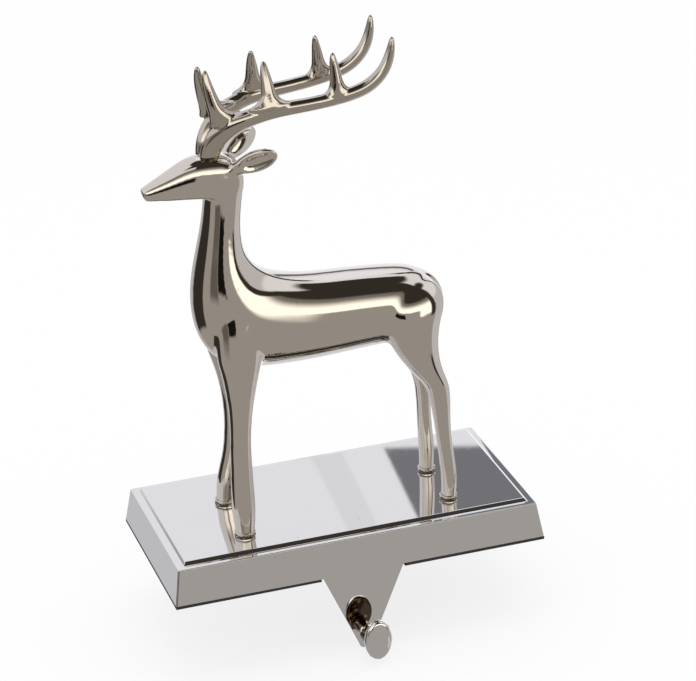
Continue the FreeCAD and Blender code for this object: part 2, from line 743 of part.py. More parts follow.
def make_ear(hand):
    """Return one ear: a leaf that points back and out, hollowed on its outer underside."""
    along = Vector(EAR_BACK, hand * EAR_OUT, EAR_LIFT).normalize()
    opening = Vector(EAR_FACING[0], hand * EAR_FACING[1], EAR_FACING[2])
    opening = (opening - along * opening.dot(along)).normalize()
    across = along.cross(opening)
    root = ear_root(hand)
    leaf, scoop = [], []
    for share, half_width, half_thickness in EAR_ROWS:
        centre = root + along * (share * size("ear_length"))
        half = half_width * size("ear_width")
        deep = half_thickness * size("ear_thickness")
        leaf.append(oval_wire(centre, opening, across, deep, half))
        inner = centre + opening * (deep * SCOOP_OUT)
        scoop.append(oval_wire(inner, opening, across, deep * SCOOP_DEPTH, half * SCOOP_WIDTH))
    return lofted(leaf).cut(lofted(scoop[1:]))


def make_tail():
    """Return the short tail that lies on the rump."""
    wires = []
    width = size("tail_width")
    for index, (place, rise, half_thickness, half_width) in enumerate(TAIL_ROWS):
        centre = Vector(place * HALF_STANCE, figure_y(), BELLY_Z + rise * size("body_depth"))
        ahead = TAIL_ROWS[min(index + 1, len(TAIL_ROWS) - 1)]
        behind = TAIL_ROWS[max(index - 1, 0)]
        run = Vector((ahead[0] - behind[0]) * HALF_STANCE, 0, (ahead[1] - behind[1]) * size("body_depth"))
        up = run.cross(SIDE).normalize()
        wires.append(oval_wire(centre, up, SIDE, half_thickness * width, half_width * width))
    return lofted(wires)


def antler_shape(hand, lift=0.0):
    """Return one antler in its place: the beam with its three tines, turned up about its foot by a lift in degrees."""
    foot_x = POLL_X - FOOT_AHEAD_SHARE * size("head_length")
    foot = Vector(foot_x, figure_y(), POLL_Z + antler_foot_height())

    def point(reach, rise, spread):
        return foot + Vector(
            reach * size("antler_reach"),
            hand * spread * size("antler_spread") / 2,
            rise * size("antler_rise"),
        )

    limbs = []
    for rows in [BEAM_ROWS] + TINE_ROWS:
        points = [point(reach, rise, spread) for reach, rise, spread, _ in rows]
        radii = [radius * size("antler_girth") for _, _, _, radius in rows]
        limbs.append(tube(points, radii, ANTLER_FLATNESS))
    antler = limbs[0].fuse(limbs[1:]).removeSplitter()
    antler.rotate(foot, SIDE, -lift)
    return antler


def antler_foot_height():
    """Return the height of the antler's foot over the poll."""
    return size("head_length") * CROWN_SHARE - size("antler_socket")


def make_deer_casting(antlers):
    """The stag in one casting, with sockets for the antlers and tapped holes in the hooves."""
    parts = [make_head()]
    left_fore, right_fore, left_hind, right_hind = hooves()
    parts.append(make_leg(LEFT_FORE_ROWS, left_fore))
    parts.append(make_leg(RIGHT_FORE_ROWS, right_fore))
    parts.append(make_leg(LEFT_HIND_ROWS, left_hind))
    parts.append(make_leg(RIGHT_HIND_ROWS, right_hind))
    parts.extend([make_ear(LEFT), make_ear(RIGHT), make_tail()])
    figure = make_trunk().fuse(parts)
    figure = figure.cut(antlers)
    shanks = [
        Part.makeCylinder(size("screw_diameter") / 2, size("hoof_grip"), hoof, UP) for hoof in hooves()
    ]
    figure = figure.cut(shanks)
    return make_solid_piece("deer_casting", figure)


def check_and_export(pieces):
    """Stop at a failed feature or a bad shape, then write each piece to its own file."""
    doc.recompute()
    for item in doc.Objects:
        if "Invalid" in item.State or "Error" in item.State:
            raise RuntimeError(f"{item.Label} did not build")
    os.makedirs("parts", exist_ok=True)
    for piece in pieces:
        shape = piece.Shape
        if shape.isNull() or not shape.isValid():
            raise RuntimeError(f"{piece.Label} is not a valid solid")
        print(f"{piece.Label}: {len(shape.Solids)} solids, {shape.Volume / 1000:.2f} cm3")
        shape.exportStep(os.path.join("parts", f"{piece.Label}.step"))


def main():
    """Build every piece of the holder and write it out."""
    left = antler_shape(LEFT)
    right = antler_shape(RIGHT, lift=size("right_antler_lift"))
    pieces = [
        make_base_casting(),
        make_deer_casting([left, right]),
        make_solid_piece("left_antler", left),
        make_solid_piece("right_antler", right),
        make_ballast_plate(),
        make_figure_screws(),
        make_felt_pad(),
    ]
    check_and_export(pieces)


main()
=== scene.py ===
"""Looks of the mantel stocking holder: a polished nickel stag on a mirror-topped base with a hook.

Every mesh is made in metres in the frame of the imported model. X runs along the base and the stag faces -X,
the hook side is -Y, and +Z is up from the underside of the felt pad.
"""

import logging
import math
from contextlib import contextmanager
from dataclasses import dataclass
from enum import Enum
from typing import Callable, Iterator, Optional, Sequence

import bmesh
import bpy
from mathutils import Matrix, Vector


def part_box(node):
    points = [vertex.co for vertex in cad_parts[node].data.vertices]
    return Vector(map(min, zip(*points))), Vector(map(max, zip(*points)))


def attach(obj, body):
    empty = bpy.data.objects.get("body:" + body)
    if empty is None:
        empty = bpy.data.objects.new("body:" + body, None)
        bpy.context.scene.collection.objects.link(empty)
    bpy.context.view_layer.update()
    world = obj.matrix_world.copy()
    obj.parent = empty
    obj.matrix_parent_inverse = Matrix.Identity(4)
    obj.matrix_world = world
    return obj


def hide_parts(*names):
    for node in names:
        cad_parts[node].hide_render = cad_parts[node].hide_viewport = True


log = logging.getLogger("stocking_holder")

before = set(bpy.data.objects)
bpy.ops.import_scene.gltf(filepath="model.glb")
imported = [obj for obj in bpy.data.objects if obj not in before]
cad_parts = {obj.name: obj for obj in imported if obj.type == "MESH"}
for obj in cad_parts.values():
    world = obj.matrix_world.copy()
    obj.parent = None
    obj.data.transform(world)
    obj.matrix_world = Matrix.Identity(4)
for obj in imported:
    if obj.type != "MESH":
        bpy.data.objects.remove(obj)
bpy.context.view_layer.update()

MM = 0.001
NEAR = 1e-6
CENTRE = (0, 0, 0)
Colour = tuple[float, float, float]
Point = tuple[float, float, float]
Rows = tuple[tuple[float, ...], ...]
Mesh = bpy.types.Object
Face = bmesh.types.BMFace
Edge = bmesh.types.BMEdge
Socket = bpy.types.NodeSocket


class Side(Enum):
    """The two sides of the stag: its left faces the hook side."""

    LEFT = -1
    RIGHT = 1


class Facing(Enum):
    """Directions that faces are picked by."""

    UP = (0.0, 0.0, 1.0)
    DOWN = (0.0, 0.0, -1.0)


@dataclass(frozen=True)
class Datum:
    """Places that the pieces share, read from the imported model, in metres."""

    foot_z: float
    plate_z: float
    figure_y: float
    low_z: float

    @classmethod
    def from_frame(cls) -> "Datum":
        """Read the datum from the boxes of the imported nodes."""
        pad_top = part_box("felt_pad")[1].z
        base_low, base_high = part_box("base_casting")
        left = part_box("left_antler")[0].y
        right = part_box("right_antler")[1].y
        return cls(foot_z=pad_top, plate_z=base_high.z, figure_y=(left + right) / 2, low_z=base_low.z)

    def point(self, x: float, y: float, z: float) -> Vector:
        """Return a point given in millimetres from the figure's middle plane on the plate."""
        return Vector((x * MM, self.figure_y + y * MM, self.plate_z + z * MM))


def deselect_all() -> None:
    """Deselect every object."""
    bpy.ops.object.select_all(action="DESELECT")


def activate(piece: Mesh) -> None:
    """Make one object the only selected and active one."""
    deselect_all()
    piece.select_set(True)
    bpy.context.view_layer.objects.active = piece


@contextmanager
def edit_mode(piece: Mesh) -> Iterator[None]:
    """Keep one object in edit mode for a block of code."""
    activate(piece)
    bpy.ops.object.mode_set(mode="EDIT")
    yield
    bpy.ops.object.mode_set(mode="OBJECT")


def pick_faces(piece: Mesh, wanted: Callable[[Face], bool]) -> None:
    """Select only the faces of the mesh in edit mode that a test picks.

    Args:
        piece: The object in edit mode.
        wanted: Test for a face to be selected.
    """
    bpy.context.tool_settings.mesh_select_mode = (False, False, True)
    cage = bmesh.from_edit_mesh(piece.data)
    for face in cage.faces:
        face.select_set(wanted(face))
    cage.select_flush_mode()
    bmesh.update_edit_mesh(piece.data)


def pick_edges(piece: Mesh, wanted: Callable[[Edge], bool]) -> None:
    """Select only the edges of the mesh in edit mode that a test picks.

    Args:
        piece: The object in edit mode.
        wanted: Test for an edge to be selected.
    """
    bpy.ops.mesh.select_all(action="DESELECT")
    bpy.context.tool_settings.mesh_select_mode = (False, True, False)
    cage = bmesh.from_edit_mesh(piece.data)
    for edge in cage.edges:
        edge.select_set(wanted(edge))
    bmesh.update_edit_mesh(piece.data)


def facing(direction: Facing, height: float) -> Callable[[Face], bool]:
    """Return a test for flat faces that look one way at one height.

    Args:
        direction: The way the faces look.
        height: Height of the faces' centres in metres.

    Returns:
        A test to hand to pick_faces.
    """
    way = Vector(direction.value)
    level, tolerance = 0.99, 0.1 * MM

    def test(face: Face) -> bool:
        return face.normal.dot(way) > level and abs(face.calc_center_median().z - height) < tolerance

    return test


def score(piece: Mesh, half: float, back: float, picked: Optional[Callable[[Face], bool]] = None) -> None:
    """Cut new edges round the notch or the tab at the front, in edit mode.

    Args:
        piece: The object in edit mode.
        half: Half width of the notch in metres.
        back: Its rear edge along Y.
        picked: Test for the faces to cut, or None for all.
    """
    for place, normal in (((-half, 0, 0), (1, 0, 0)), ((half, 0, 0), (1, 0, 0)), ((0, back, 0), (0, 1, 0))):
        if picked:
            pick_faces(piece, picked)
        else:
            bpy.ops.mesh.select_all(action="SELECT")
        bpy.ops.mesh.bisect(plane_co=place, plane_no=normal)


def added(operator: Callable[..., object], name: str, **settings: object) -> Mesh:
    """Add one of Blender's own shapes.

    Args:
        operator: The operator that adds it.
        name: Name of the new object.
        **settings: Values for the operator.

    Returns:
        The new object, selected and active.
    """
    deselect_all()
    operator(**settings)
    bpy.context.object.name = name
    return bpy.context.object


def apply_modifier(piece: Mesh, kind: str, **settings: object) -> None:
    """Add a modifier to an object, set it up and apply it.

    Args:
        piece: The object to change.
        kind: Blender's name for the modifier.
        **settings: Values for the modifier's properties.
    """
    activate(piece)
    modifier = piece.modifiers.new(kind.title(), kind)
    for name, value in settings.items():
        setattr(modifier, name, value)
    bpy.ops.object.modifier_apply(modifier=modifier.name)


def join_pieces(name: str, pieces: Sequence[Mesh]) -> Mesh:
    """Join meshes into the first of them and return it under a new name."""
    activate(pieces[0])
    for piece in pieces:
        piece.select_set(True)
    bpy.ops.object.join()
    pieces[0].name = name
    return pieces[0]


def combine(piece: Mesh, tool: Mesh, operation: str) -> None:
    """Unite a mesh with another or cut it by that one, and remove the other.

    Args:
        piece: The mesh that stays.
        tool: The mesh that is used up.
        operation: UNION or DIFFERENCE.
    """
    apply_modifier(piece, "BOOLEAN", operation=operation, object=tool, solver="EXACT")
    bpy.data.objects.remove(tool)


def finish_origin(piece: Mesh) -> None:
    """Move the object's origin to the frame's origin, with its place in its mesh."""
    activate(piece)
    bpy.ops.object.transform_apply(location=True, rotation=True, scale=True)


def stand(piece: Mesh, place: Vector, *axes: Vector) -> None:
    """Put an object at a place, with its own axes along three directions."""
    piece.matrix_world = Matrix.Translation(place) @ Matrix(axes).transposed().to_4x4()


def smooth_shading(piece: Mesh, limit: float) -> None:
    """Shade a mesh smooth except across edges sharper than a limit in degrees."""
    activate(piece)
    bpy.ops.object.shade_smooth_by_angle(angle=math.radians(limit))


def smooth_out(piece: Mesh, iterations: int, group: str = "") -> None:
    """Smooth a mesh a number of times, within a vertex group where one is named."""
    apply_modifier(piece, "SMOOTH", factor=0.5, iterations=iterations, vertex_group=group)


def quarter_round(steps: int) -> list[tuple[float, float]]:
    """Return points of a quarter circle of radius 1: how far along each is and what it lacks across."""
    swings = [math.pi / 2 * index / steps for index in range(steps + 1)]
    return [(1 - math.cos(swing), 1 - math.sin(swing)) for swing in swings]


@dataclass(frozen=True)
class Station:
    """One oval section of a limb.

    Attributes:
        x: Place along the base in millimetres from the figure's middle.
        y: Place across in millimetres from the figure's middle plane.
        z: Height in millimetres over the plate.
        deep: Half size within the figure's plane in millimetres.
        wide: Half size across the figure's plane in millimetres.
        turn: Turn of the section about Y in degrees, where 0 is level.
    """

    x: float
    y: float
    z: float
    deep: float
    wide: float
    turn: float = 0.0


@dataclass(frozen=True)
class Ring:
    """One ring of a bridged form, in metres.

    Attributes:
        half: Half sizes along X and Y before the ring is turned.
        axis: The axis that it is turned about.
        turn: The turn in radians.
        place: Its centre.
        power: Exponent of its outline: 2 is an oval, more is boxier and less is ridged.
    """

    half: tuple[float, float]
    axis: str
    turn: float
    place: Vector
    power: float = 2.0


def square_up(piece: Mesh, power: float) -> None:
    """Turn the selected round ring into one with another exponent."""
    cage = bmesh.from_edit_mesh(piece.data)
    for vert in cage.verts:
        if vert.select:
            vert.co /= (abs(vert.co.x) ** power + abs(vert.co.y) ** power) ** (1 / power)
    bmesh.update_edit_mesh(piece.data)


def ringed_form(name: str, corners: int, rings: Sequence[Ring]) -> Mesh:
    """Make a closed form by bridging rings one after another.

    Args:
        name: Name of the object.
        corners: Corners of each ring.
        rings: The rings from one end to the other.

    Returns:
        The closed form.
    """
    deselect_all()
    bpy.ops.mesh.primitive_circle_add(vertices=corners, radius=1, location=CENTRE)
    form = bpy.context.object
    form.name = name
    with edit_mode(form):
        for number, ring in enumerate(rings):
            if number:
                bpy.ops.mesh.primitive_circle_add(vertices=corners, radius=1, location=CENTRE)
            if ring.power != 2.0:
                square_up(form, ring.power)
            bpy.ops.transform.resize(value=(*ring.half, 1), center_override=CENTRE)
            bpy.ops.transform.rotate(value=ring.turn, orient_axis=ring.axis, center_override=CENTRE)
            bpy.ops.transform.translate(value=ring.place)
        bridge_rings(form, len(rings), corners)
    return form


@dataclass
class Limb:
    """A closed tapering form through rounded sections.

    Attributes:
        datum: The shared places.
        name: Name of the object.
        stations: The sections from one end to the other.
        points: Corners of each ring.
        power: Exponent of the sections.
        levels: Subdivision levels.
    """

    datum: Datum
    name: str
    stations: Sequence[Station]
    points: int = 12
    power: float = 2.0
    levels: int = 2

    def build(self) -> Mesh:
        """Bridge the sections and smooth the form by subdivision, which the rings' sizes make up for."""
        grow = 3 / (2 + math.cos(2 * math.pi / self.points))
        rings = []
        for at in self.stations:
            half = (at.deep * MM * grow, at.wide * MM * grow)
            place = self.datum.point(at.x, at.y, at.z)
            rings.append(Ring(half, "Y", -math.radians(at.turn), place, self.power))
        limb = ringed_form(self.name, self.points, rings)
        apply_modifier(limb, "SUBSURF", levels=self.levels, render_levels=self.levels)
        return limb


def fuse_by_voxels(piece: Mesh, voxel: float) -> None:
    """Turn overlapping closed forms in one mesh into one even skin.

    Args:
        piece: The joined forms.
        voxel: Voxel size in millimetres.
    """
    activate(piece)
    piece.data.remesh_voxel_size = voxel * MM
    bpy.ops.object.voxel_remesh()


@dataclass
class BaseCasting:
    """The hollow drafted base with raised plate, hanging tab, peg and oval button. Sizes in millimetres."""

    datum: Datum
    length: float = 160.0
    width: float = 82.0
    wall_height: float = 15.1
    draft: float = 2.44
    corner_radius: float = 0.7
    rim: float = 3.0
    plate_rise: float = 1.4
    plate_bevel: float = 1.0
    wall: float = 4.5
    top: float = 3.5
    tab_width: float = 35.0
    tab_tip: float = 4.2
    tab_drop: float = 36.0
    tab_thickness: float = 3.5
    tip_round: float = 1.2
    edge_round: float = 0.32
    corner_steps: int = 5
    edge_steps: int = 3
    sharp_edge: float = 28.0
    hook_drop: float = 25.4
    peg_low: float = 3.9
    peg_x: float = 0.5
    button_x: float = 1.0
    hook_gap: float = 11.4
    peg_radius: float = 3.0
    flare: float = 1.2
    button_half_width: float = 5.85
    button_half_height: float = 9.0
    button_thickness: float = 4.2
    button_round: float = 1.5
    button_dome: float = 0.55
    dome_shares: tuple[float, ...] = (0.62, 0.42, 0.22, 0.08)
    round_steps: int = 6
    flare_steps: int = 5
    oval_corners: int = 48

    def build(self) -> Mesh:
        """Build the casting and return its mesh."""
        base = self._walls()
        self._tab(base)
        self._round_edges(base)
        combine(base, self._peg(), "UNION")
        combine(base, self._button(), "UNION")
        apply_modifier(base, "WEIGHTED_NORMAL", keep_sharp=True, weight=60)
        finish_origin(base)
        return base

    def _walls(self) -> Mesh:
        """Make the drafted block, its rim, the raised plate and the hollow underneath."""
        foot = self.datum.foot_z
        rim_z = foot + self.wall_height * MM
        middle = (0, 0, (foot + rim_z) / 2)
        base = added(bpy.ops.mesh.primitive_cube_add, "polished_base", size=1, location=middle)
        with edit_mode(base):
            scale = (self.length * MM, self.width * MM, self.wall_height * MM)
            bpy.ops.transform.resize(value=scale)
            pick_faces(base, facing(Facing.UP, rim_z - base.location.z))
            lean = (1 - 2 * self.draft / self.length, 1 - 2 * self.draft / self.width, 1)
            bpy.ops.transform.resize(value=lean)
            bpy.ops.mesh.inset(thickness=self.rim * MM, depth=0)
            bpy.ops.mesh.inset(thickness=self.plate_bevel * MM, depth=self.plate_rise * MM)
            pick_faces(base, facing(Facing.DOWN, foot - base.location.z))
            bpy.ops.mesh.inset(thickness=self.wall * MM, depth=0)
            hollow = (self.wall_height - self.top) * MM
            bpy.ops.mesh.extrude_region_move(TRANSFORM_OT_translate={"value": (0, 0, hollow)})
        finish_origin(base)
        return base

    def _tab(self, base: Mesh) -> None:
        """Pull the hanging tab down from the front strip of the base's underside."""
        foot = self.datum.foot_z
        front = -self.width / 2 * MM
        back = front + self.tab_thickness * MM
        half = self.tab_width / 2 * MM
        under = facing(Facing.DOWN, foot)
        with edit_mode(base):
            score(base, half, back, under)

            def strip(face: Face) -> bool:
                centre = face.calc_center_median()
                return under(face) and abs(centre.x) < half and centre.y < back

            pick_faces(base, strip)
            drop = (0, 0, -self.tab_drop * MM)
            bpy.ops.mesh.extrude_region_move(TRANSFORM_OT_translate={"value": drop})
            bpy.ops.transform.resize(value=(self.tab_tip / self.tab_width, 1, 1))

    def _round_edges(self, base: Mesh) -> None:
        """Round the wall corners, the tab's tip and then every other sharp edge a little."""
        foot, tip_z = self.datum.foot_z, self.datum.foot_z - self.tab_drop * MM
        rim_z = foot + self.wall_height * MM
        reach = self.length / 2 * MM - self.draft * MM - NEAR

        def wall_corner(edge: Edge) -> bool:
            low, high = sorted(edge.verts, key=lambda vert: vert.co.z)
            outside = min(abs(low.co.x), abs(high.co.x)) > reach
            return outside and abs(low.co.z - foot) < NEAR and abs(high.co.z - rim_z) < NEAR

        def tip_corner(edge: Edge) -> bool:
            ends = [vert.co for vert in edge.verts]
            return all(abs(end.z - tip_z) < NEAR for end in ends) and abs(ends[0].x - ends[1].x) < NEAR

        with edit_mode(base):
            for wanted, radius in ((wall_corner, self.corner_radius), (tip_corner, self.tip_round)):
                pick_edges(base, wanted)
                bpy.ops.mesh.bevel(offset=radius * MM, segments=self.corner_steps, affect="EDGES")
        apply_modifier(
            base,
            "BEVEL",
            width=self.edge_round * MM,
            segments=self.edge_steps,
            limit_method="ANGLE",
            angle_limit=math.radians(self.sharp_edge),
        )
        smooth_shading(base, limit=40)

    def _peg(self) -> Mesh:
        """Make the peg, which flares where it leaves the tab and a little where it meets the button."""
        front = self.width / 2
        root = self.peg_radius + self.flare
        rows = [(front - self.tab_thickness / 2, root, root)]
        for along, out in quarter_round(self.flare_steps):
            radius = self.peg_radius + self.flare * out
            rows.append((front + self.flare * along, radius, radius))
        end = front + self.hook_gap
        rows.append((end - self.flare / 2, self.peg_radius, self.peg_radius))
        meet = self.peg_radius + self.flare / 4
        rows.append((end, meet, meet))
        rows.append((end + self.button_thickness / 2, meet, meet))
        return self._oval_rows("peg", rows, self.peg_x, -self.hook_drop - self.peg_low)

    def _button(self) -> Mesh:
        """Make the upright oval button with round edges and a softly domed face."""
        back = self.width / 2 + self.hook_gap
        face = back + self.button_thickness
        rows = []
        for start, sign in ((back, 1), (face - self.button_dome, -1)):
            for along, out in quarter_round(self.round_steps)[::sign]:
                place, less = start + sign * self.button_round * along, self.button_round * out
                rows.append((place, self.button_half_width - less, self.button_half_height - less))
        for share in self.dome_shares:
            along = face - self.button_dome * share ** 2
            rows.append((along, self.button_half_width * share, self.button_half_height * share))
        return self._oval_rows("button", rows, self.button_x, -self.hook_drop)

    def _oval_rows(self, name: str, rows: Sequence[Point], x: float, drop: float) -> Mesh:
        """Bridge upright oval rings.

        Args:
            name: Name of the form.
            rows: Distance before the base's middle, half width and half height of each ring.
            x: Place of their axis along the base.
            drop: Height of their axis over the foot of the walls.

        Returns:
            The closed form.
        """
        height = self.datum.foot_z + drop * MM
        rings = []
        for along, half_width, half_height in rows:
            place = Vector((x * MM, -along * MM, height))
            rings.append(Ring((half_width * MM, half_height * MM), "X", -math.pi / 2, place))
        return ringed_form(name, self.oval_corners, rings)


def bridge_rings(piece: Mesh, rings: int, corners: int) -> None:
    """Bridge rings one after another in edit mode and close both ends.

    Args:
        piece: The object in edit mode.
        rings: How many rings it has.
        corners: Corners of each ring.
    """
    def within(first: int, last: int) -> Callable[[Edge], bool]:
        def test(edge: Edge) -> bool:
            ring, other = (vert.index // corners for vert in edge.verts)
            return ring == other and first <= ring <= last

        return test

    for first in range(rings - 1):
        pick_edges(piece, within(first, first + 1))
        bpy.ops.mesh.bridge_edge_loops()
    for end in (0, rings - 1):
        pick_edges(piece, within(end, end))
        bpy.ops.mesh.edge_face_add()
    bpy.ops.mesh.select_all(action="SELECT")
    bpy.ops.mesh.normals_make_consistent(inside=False)


def cut_flat(piece: Mesh, place: Vector, normal: Point) -> None:
    """Cut a closed mesh by a plane, remove what lies ahead of it and close the cut.

    Args:
        piece: The mesh to cut.
        place: A point of the plane.
        normal: The plane's normal, which points at what is removed.
    """
    with edit_mode(piece):
        bpy.ops.mesh.select_all(action="SELECT")
        bpy.ops.mesh.bisect(plane_co=place, plane_no=normal, use_fill=True, clear_outer=True)


def turns_along(points: Sequence[tuple[float, float]]) -> list[float]:
    """Return, for each point of a line in the figure's plane, the turn of a section square to the line.

    Args:
        points: Pairs of X and Z along the line.

    Returns:
        The turns about Y in degrees.
    """
    turns = []
    for index in range(len(points)):
        ahead = points[min(index + 1, len(points) - 1)]
        behind = points[max(index - 1, 0)]
        turns.append(math.degrees(math.atan2(ahead[0] - behind[0], ahead[1] - behind[1])))
    return turns


@dataclass(frozen=True)
class Leg:
    """One leg and the collar round its hoof. Sizes in millimetres.

    Attributes:
        name: Name of the leg.
        x: Place of the hoof along the base.
        y: Place of the hoof from the figure's middle plane.
        hoof: Half size of the leg where it stands on the plate.
        rows: Height, shift along X, share of the way out to the hoof, half depth and half width.
        slip: Shift along X of the hoof itself.
    """

    name: str
    x: float
    y: float
    hoof: float
    rows: Rows
    slip: float = 0.0

    def stations(self) -> list[Station]:
        """Return the leg's sections from inside the trunk to under the plate."""
        under = -3.0
        ends = [(height, self.slip, 1.0, self.hoof, self.hoof) for height in (0.0, under)]
        return [
            Station(self.x + shift, self.y * spread, z, deep, wide)
            for z, shift, spread, deep, wide in [*self.rows, *ends]
        ]


FORE_X = -44.2
HIND_X = 44.2
LEGS = (
    Leg(
        name="left_fore",
        x=FORE_X,
        y=-15.2,
        hoof=4.0,
        rows=(
            (106.5, 3.8, 0.48, 5.0, 3.4),
            (100.5, 3.8, 0.58, 8.4, 5.6),
            (93.8, 3.7, 0.66, 9.8, 6.6),
            (87.1, 3.4, 0.70, 10.0, 6.7),
            (80.4, 2.9, 0.75, 9.6, 6.5),
            (76.4, 2.8, 0.78, 9.3, 6.4),
            (71.5, 2.7, 0.82, 7.9, 6.3),
            (60.5, 1.8, 0.89, 5.8, 5.2),
            (52.5, 1.3, 0.92, 4.8, 4.4),
            (43.6, 0.6, 0.94, 4.5, 4.1),
            (37.5, 0.3, 0.95, 4.6, 4.1),
            (23.5, 0.1, 0.97, 4.8, 4.2),
            (10.0, 0.0, 0.99, 5.2, 4.4),
            (4.5, 0.1, 1.00, 4.4, 4.1),
        ),
    ),
    Leg(
        name="right_fore",
        x=FORE_X,
        y=15.2,
        hoof=4.0,
        rows=(
            (100.5, 3.4, 0.42, 5.0, 3.0),
            (93.8, 3.4, 0.52, 8.0, 4.6),
            (87.1, 3.2, 0.60, 9.2, 5.4),
            (80.4, 2.9, 0.66, 9.4, 5.9),
            (73.7, 3.2, 0.70, 8.4, 6.2),
            (63.5, 4.4, 0.74, 6.0, 5.2),
            (50.5, 5.4, 0.78, 4.6, 4.2),
            (38.5, 5.4, 0.82, 4.2, 4.0),
            (25.5, 4.6, 0.88, 4.2, 4.0),
            (17.5, 2.9, 0.94, 4.5, 4.2),
            (10.5, 1.6, 0.97, 4.7, 4.4),
            (4.5, 0.9, 1.00, 4.3, 4.1),
        ),
        slip=0.4,
    ),
    Leg(
        name="left_hind",
        x=HIND_X,
        y=-16.5,
        hoof=3.3,
        rows=(
            (98.0, -9.8, 0.36, 6.0, 3.2),
            (94.6, -10.6, 0.45, 11.4, 5.8),
            (90.6, -11.2, 0.55, 13.8, 7.6),
            (86.4, -11.6, 0.60, 14.2, 8.2),
            (82.4, -11.7, 0.62, 13.2, 8.2),
            (78.5, -11.8, 0.64, 11.8, 8.0),
            (69.5, -11.2, 0.71, 9.7, 7.2),
            (61.5, -8.2, 0.80, 7.3, 6.2),
            (57.0, -5.8, 0.86, 6.2, 5.4),
            (53.0, -3.3, 0.90, 5.2, 4.9),
            (49.0, -2.4, 0.92, 4.9, 4.2),
            (41.5, -1.8, 0.94, 4.2, 3.5),
            (33.5, -1.5, 0.96, 3.6, 3.1),
            (23.5, -0.7, 0.98, 3.4, 3.2),
            (9.5, 0.8, 1.00, 3.6, 3.6),
            (4.5, 0.5, 1.00, 3.4, 3.4),
        ),
    ),
    Leg(
        name="right_hind",
        x=HIND_X,
        y=10.5,
        hoof=3.3,
        rows=(
            (95.5, -9.0, 0.30, 5.0, 3.0),
            (91.1, -10.3, 0.52, 9.5, 5.6),
            (86.4, -11.2, 0.68, 12.0, 7.0),
            (82.4, -11.6, 0.76, 12.2, 7.5),
            (78.5, -11.8, 0.82, 11.6, 7.8),
            (69.5, -11.0, 0.92, 9.7, 7.2),
            (61.5, -7.4, 0.96, 7.0, 6.0),
            (53.5, -3.4, 0.98, 5.2, 4.9),
            (45.5, -1.1, 1.00, 3.9, 3.8),
            (37.5, -0.5, 1.00, 3.3, 3.4),
            (25.5, -0.5, 1.00, 3.2, 3.3),
            (11.5, 0.3, 1.00, 3.6, 3.6),
            (5.5, 0.2, 1.00, 3.4, 3.4),
        ),
    ),
)


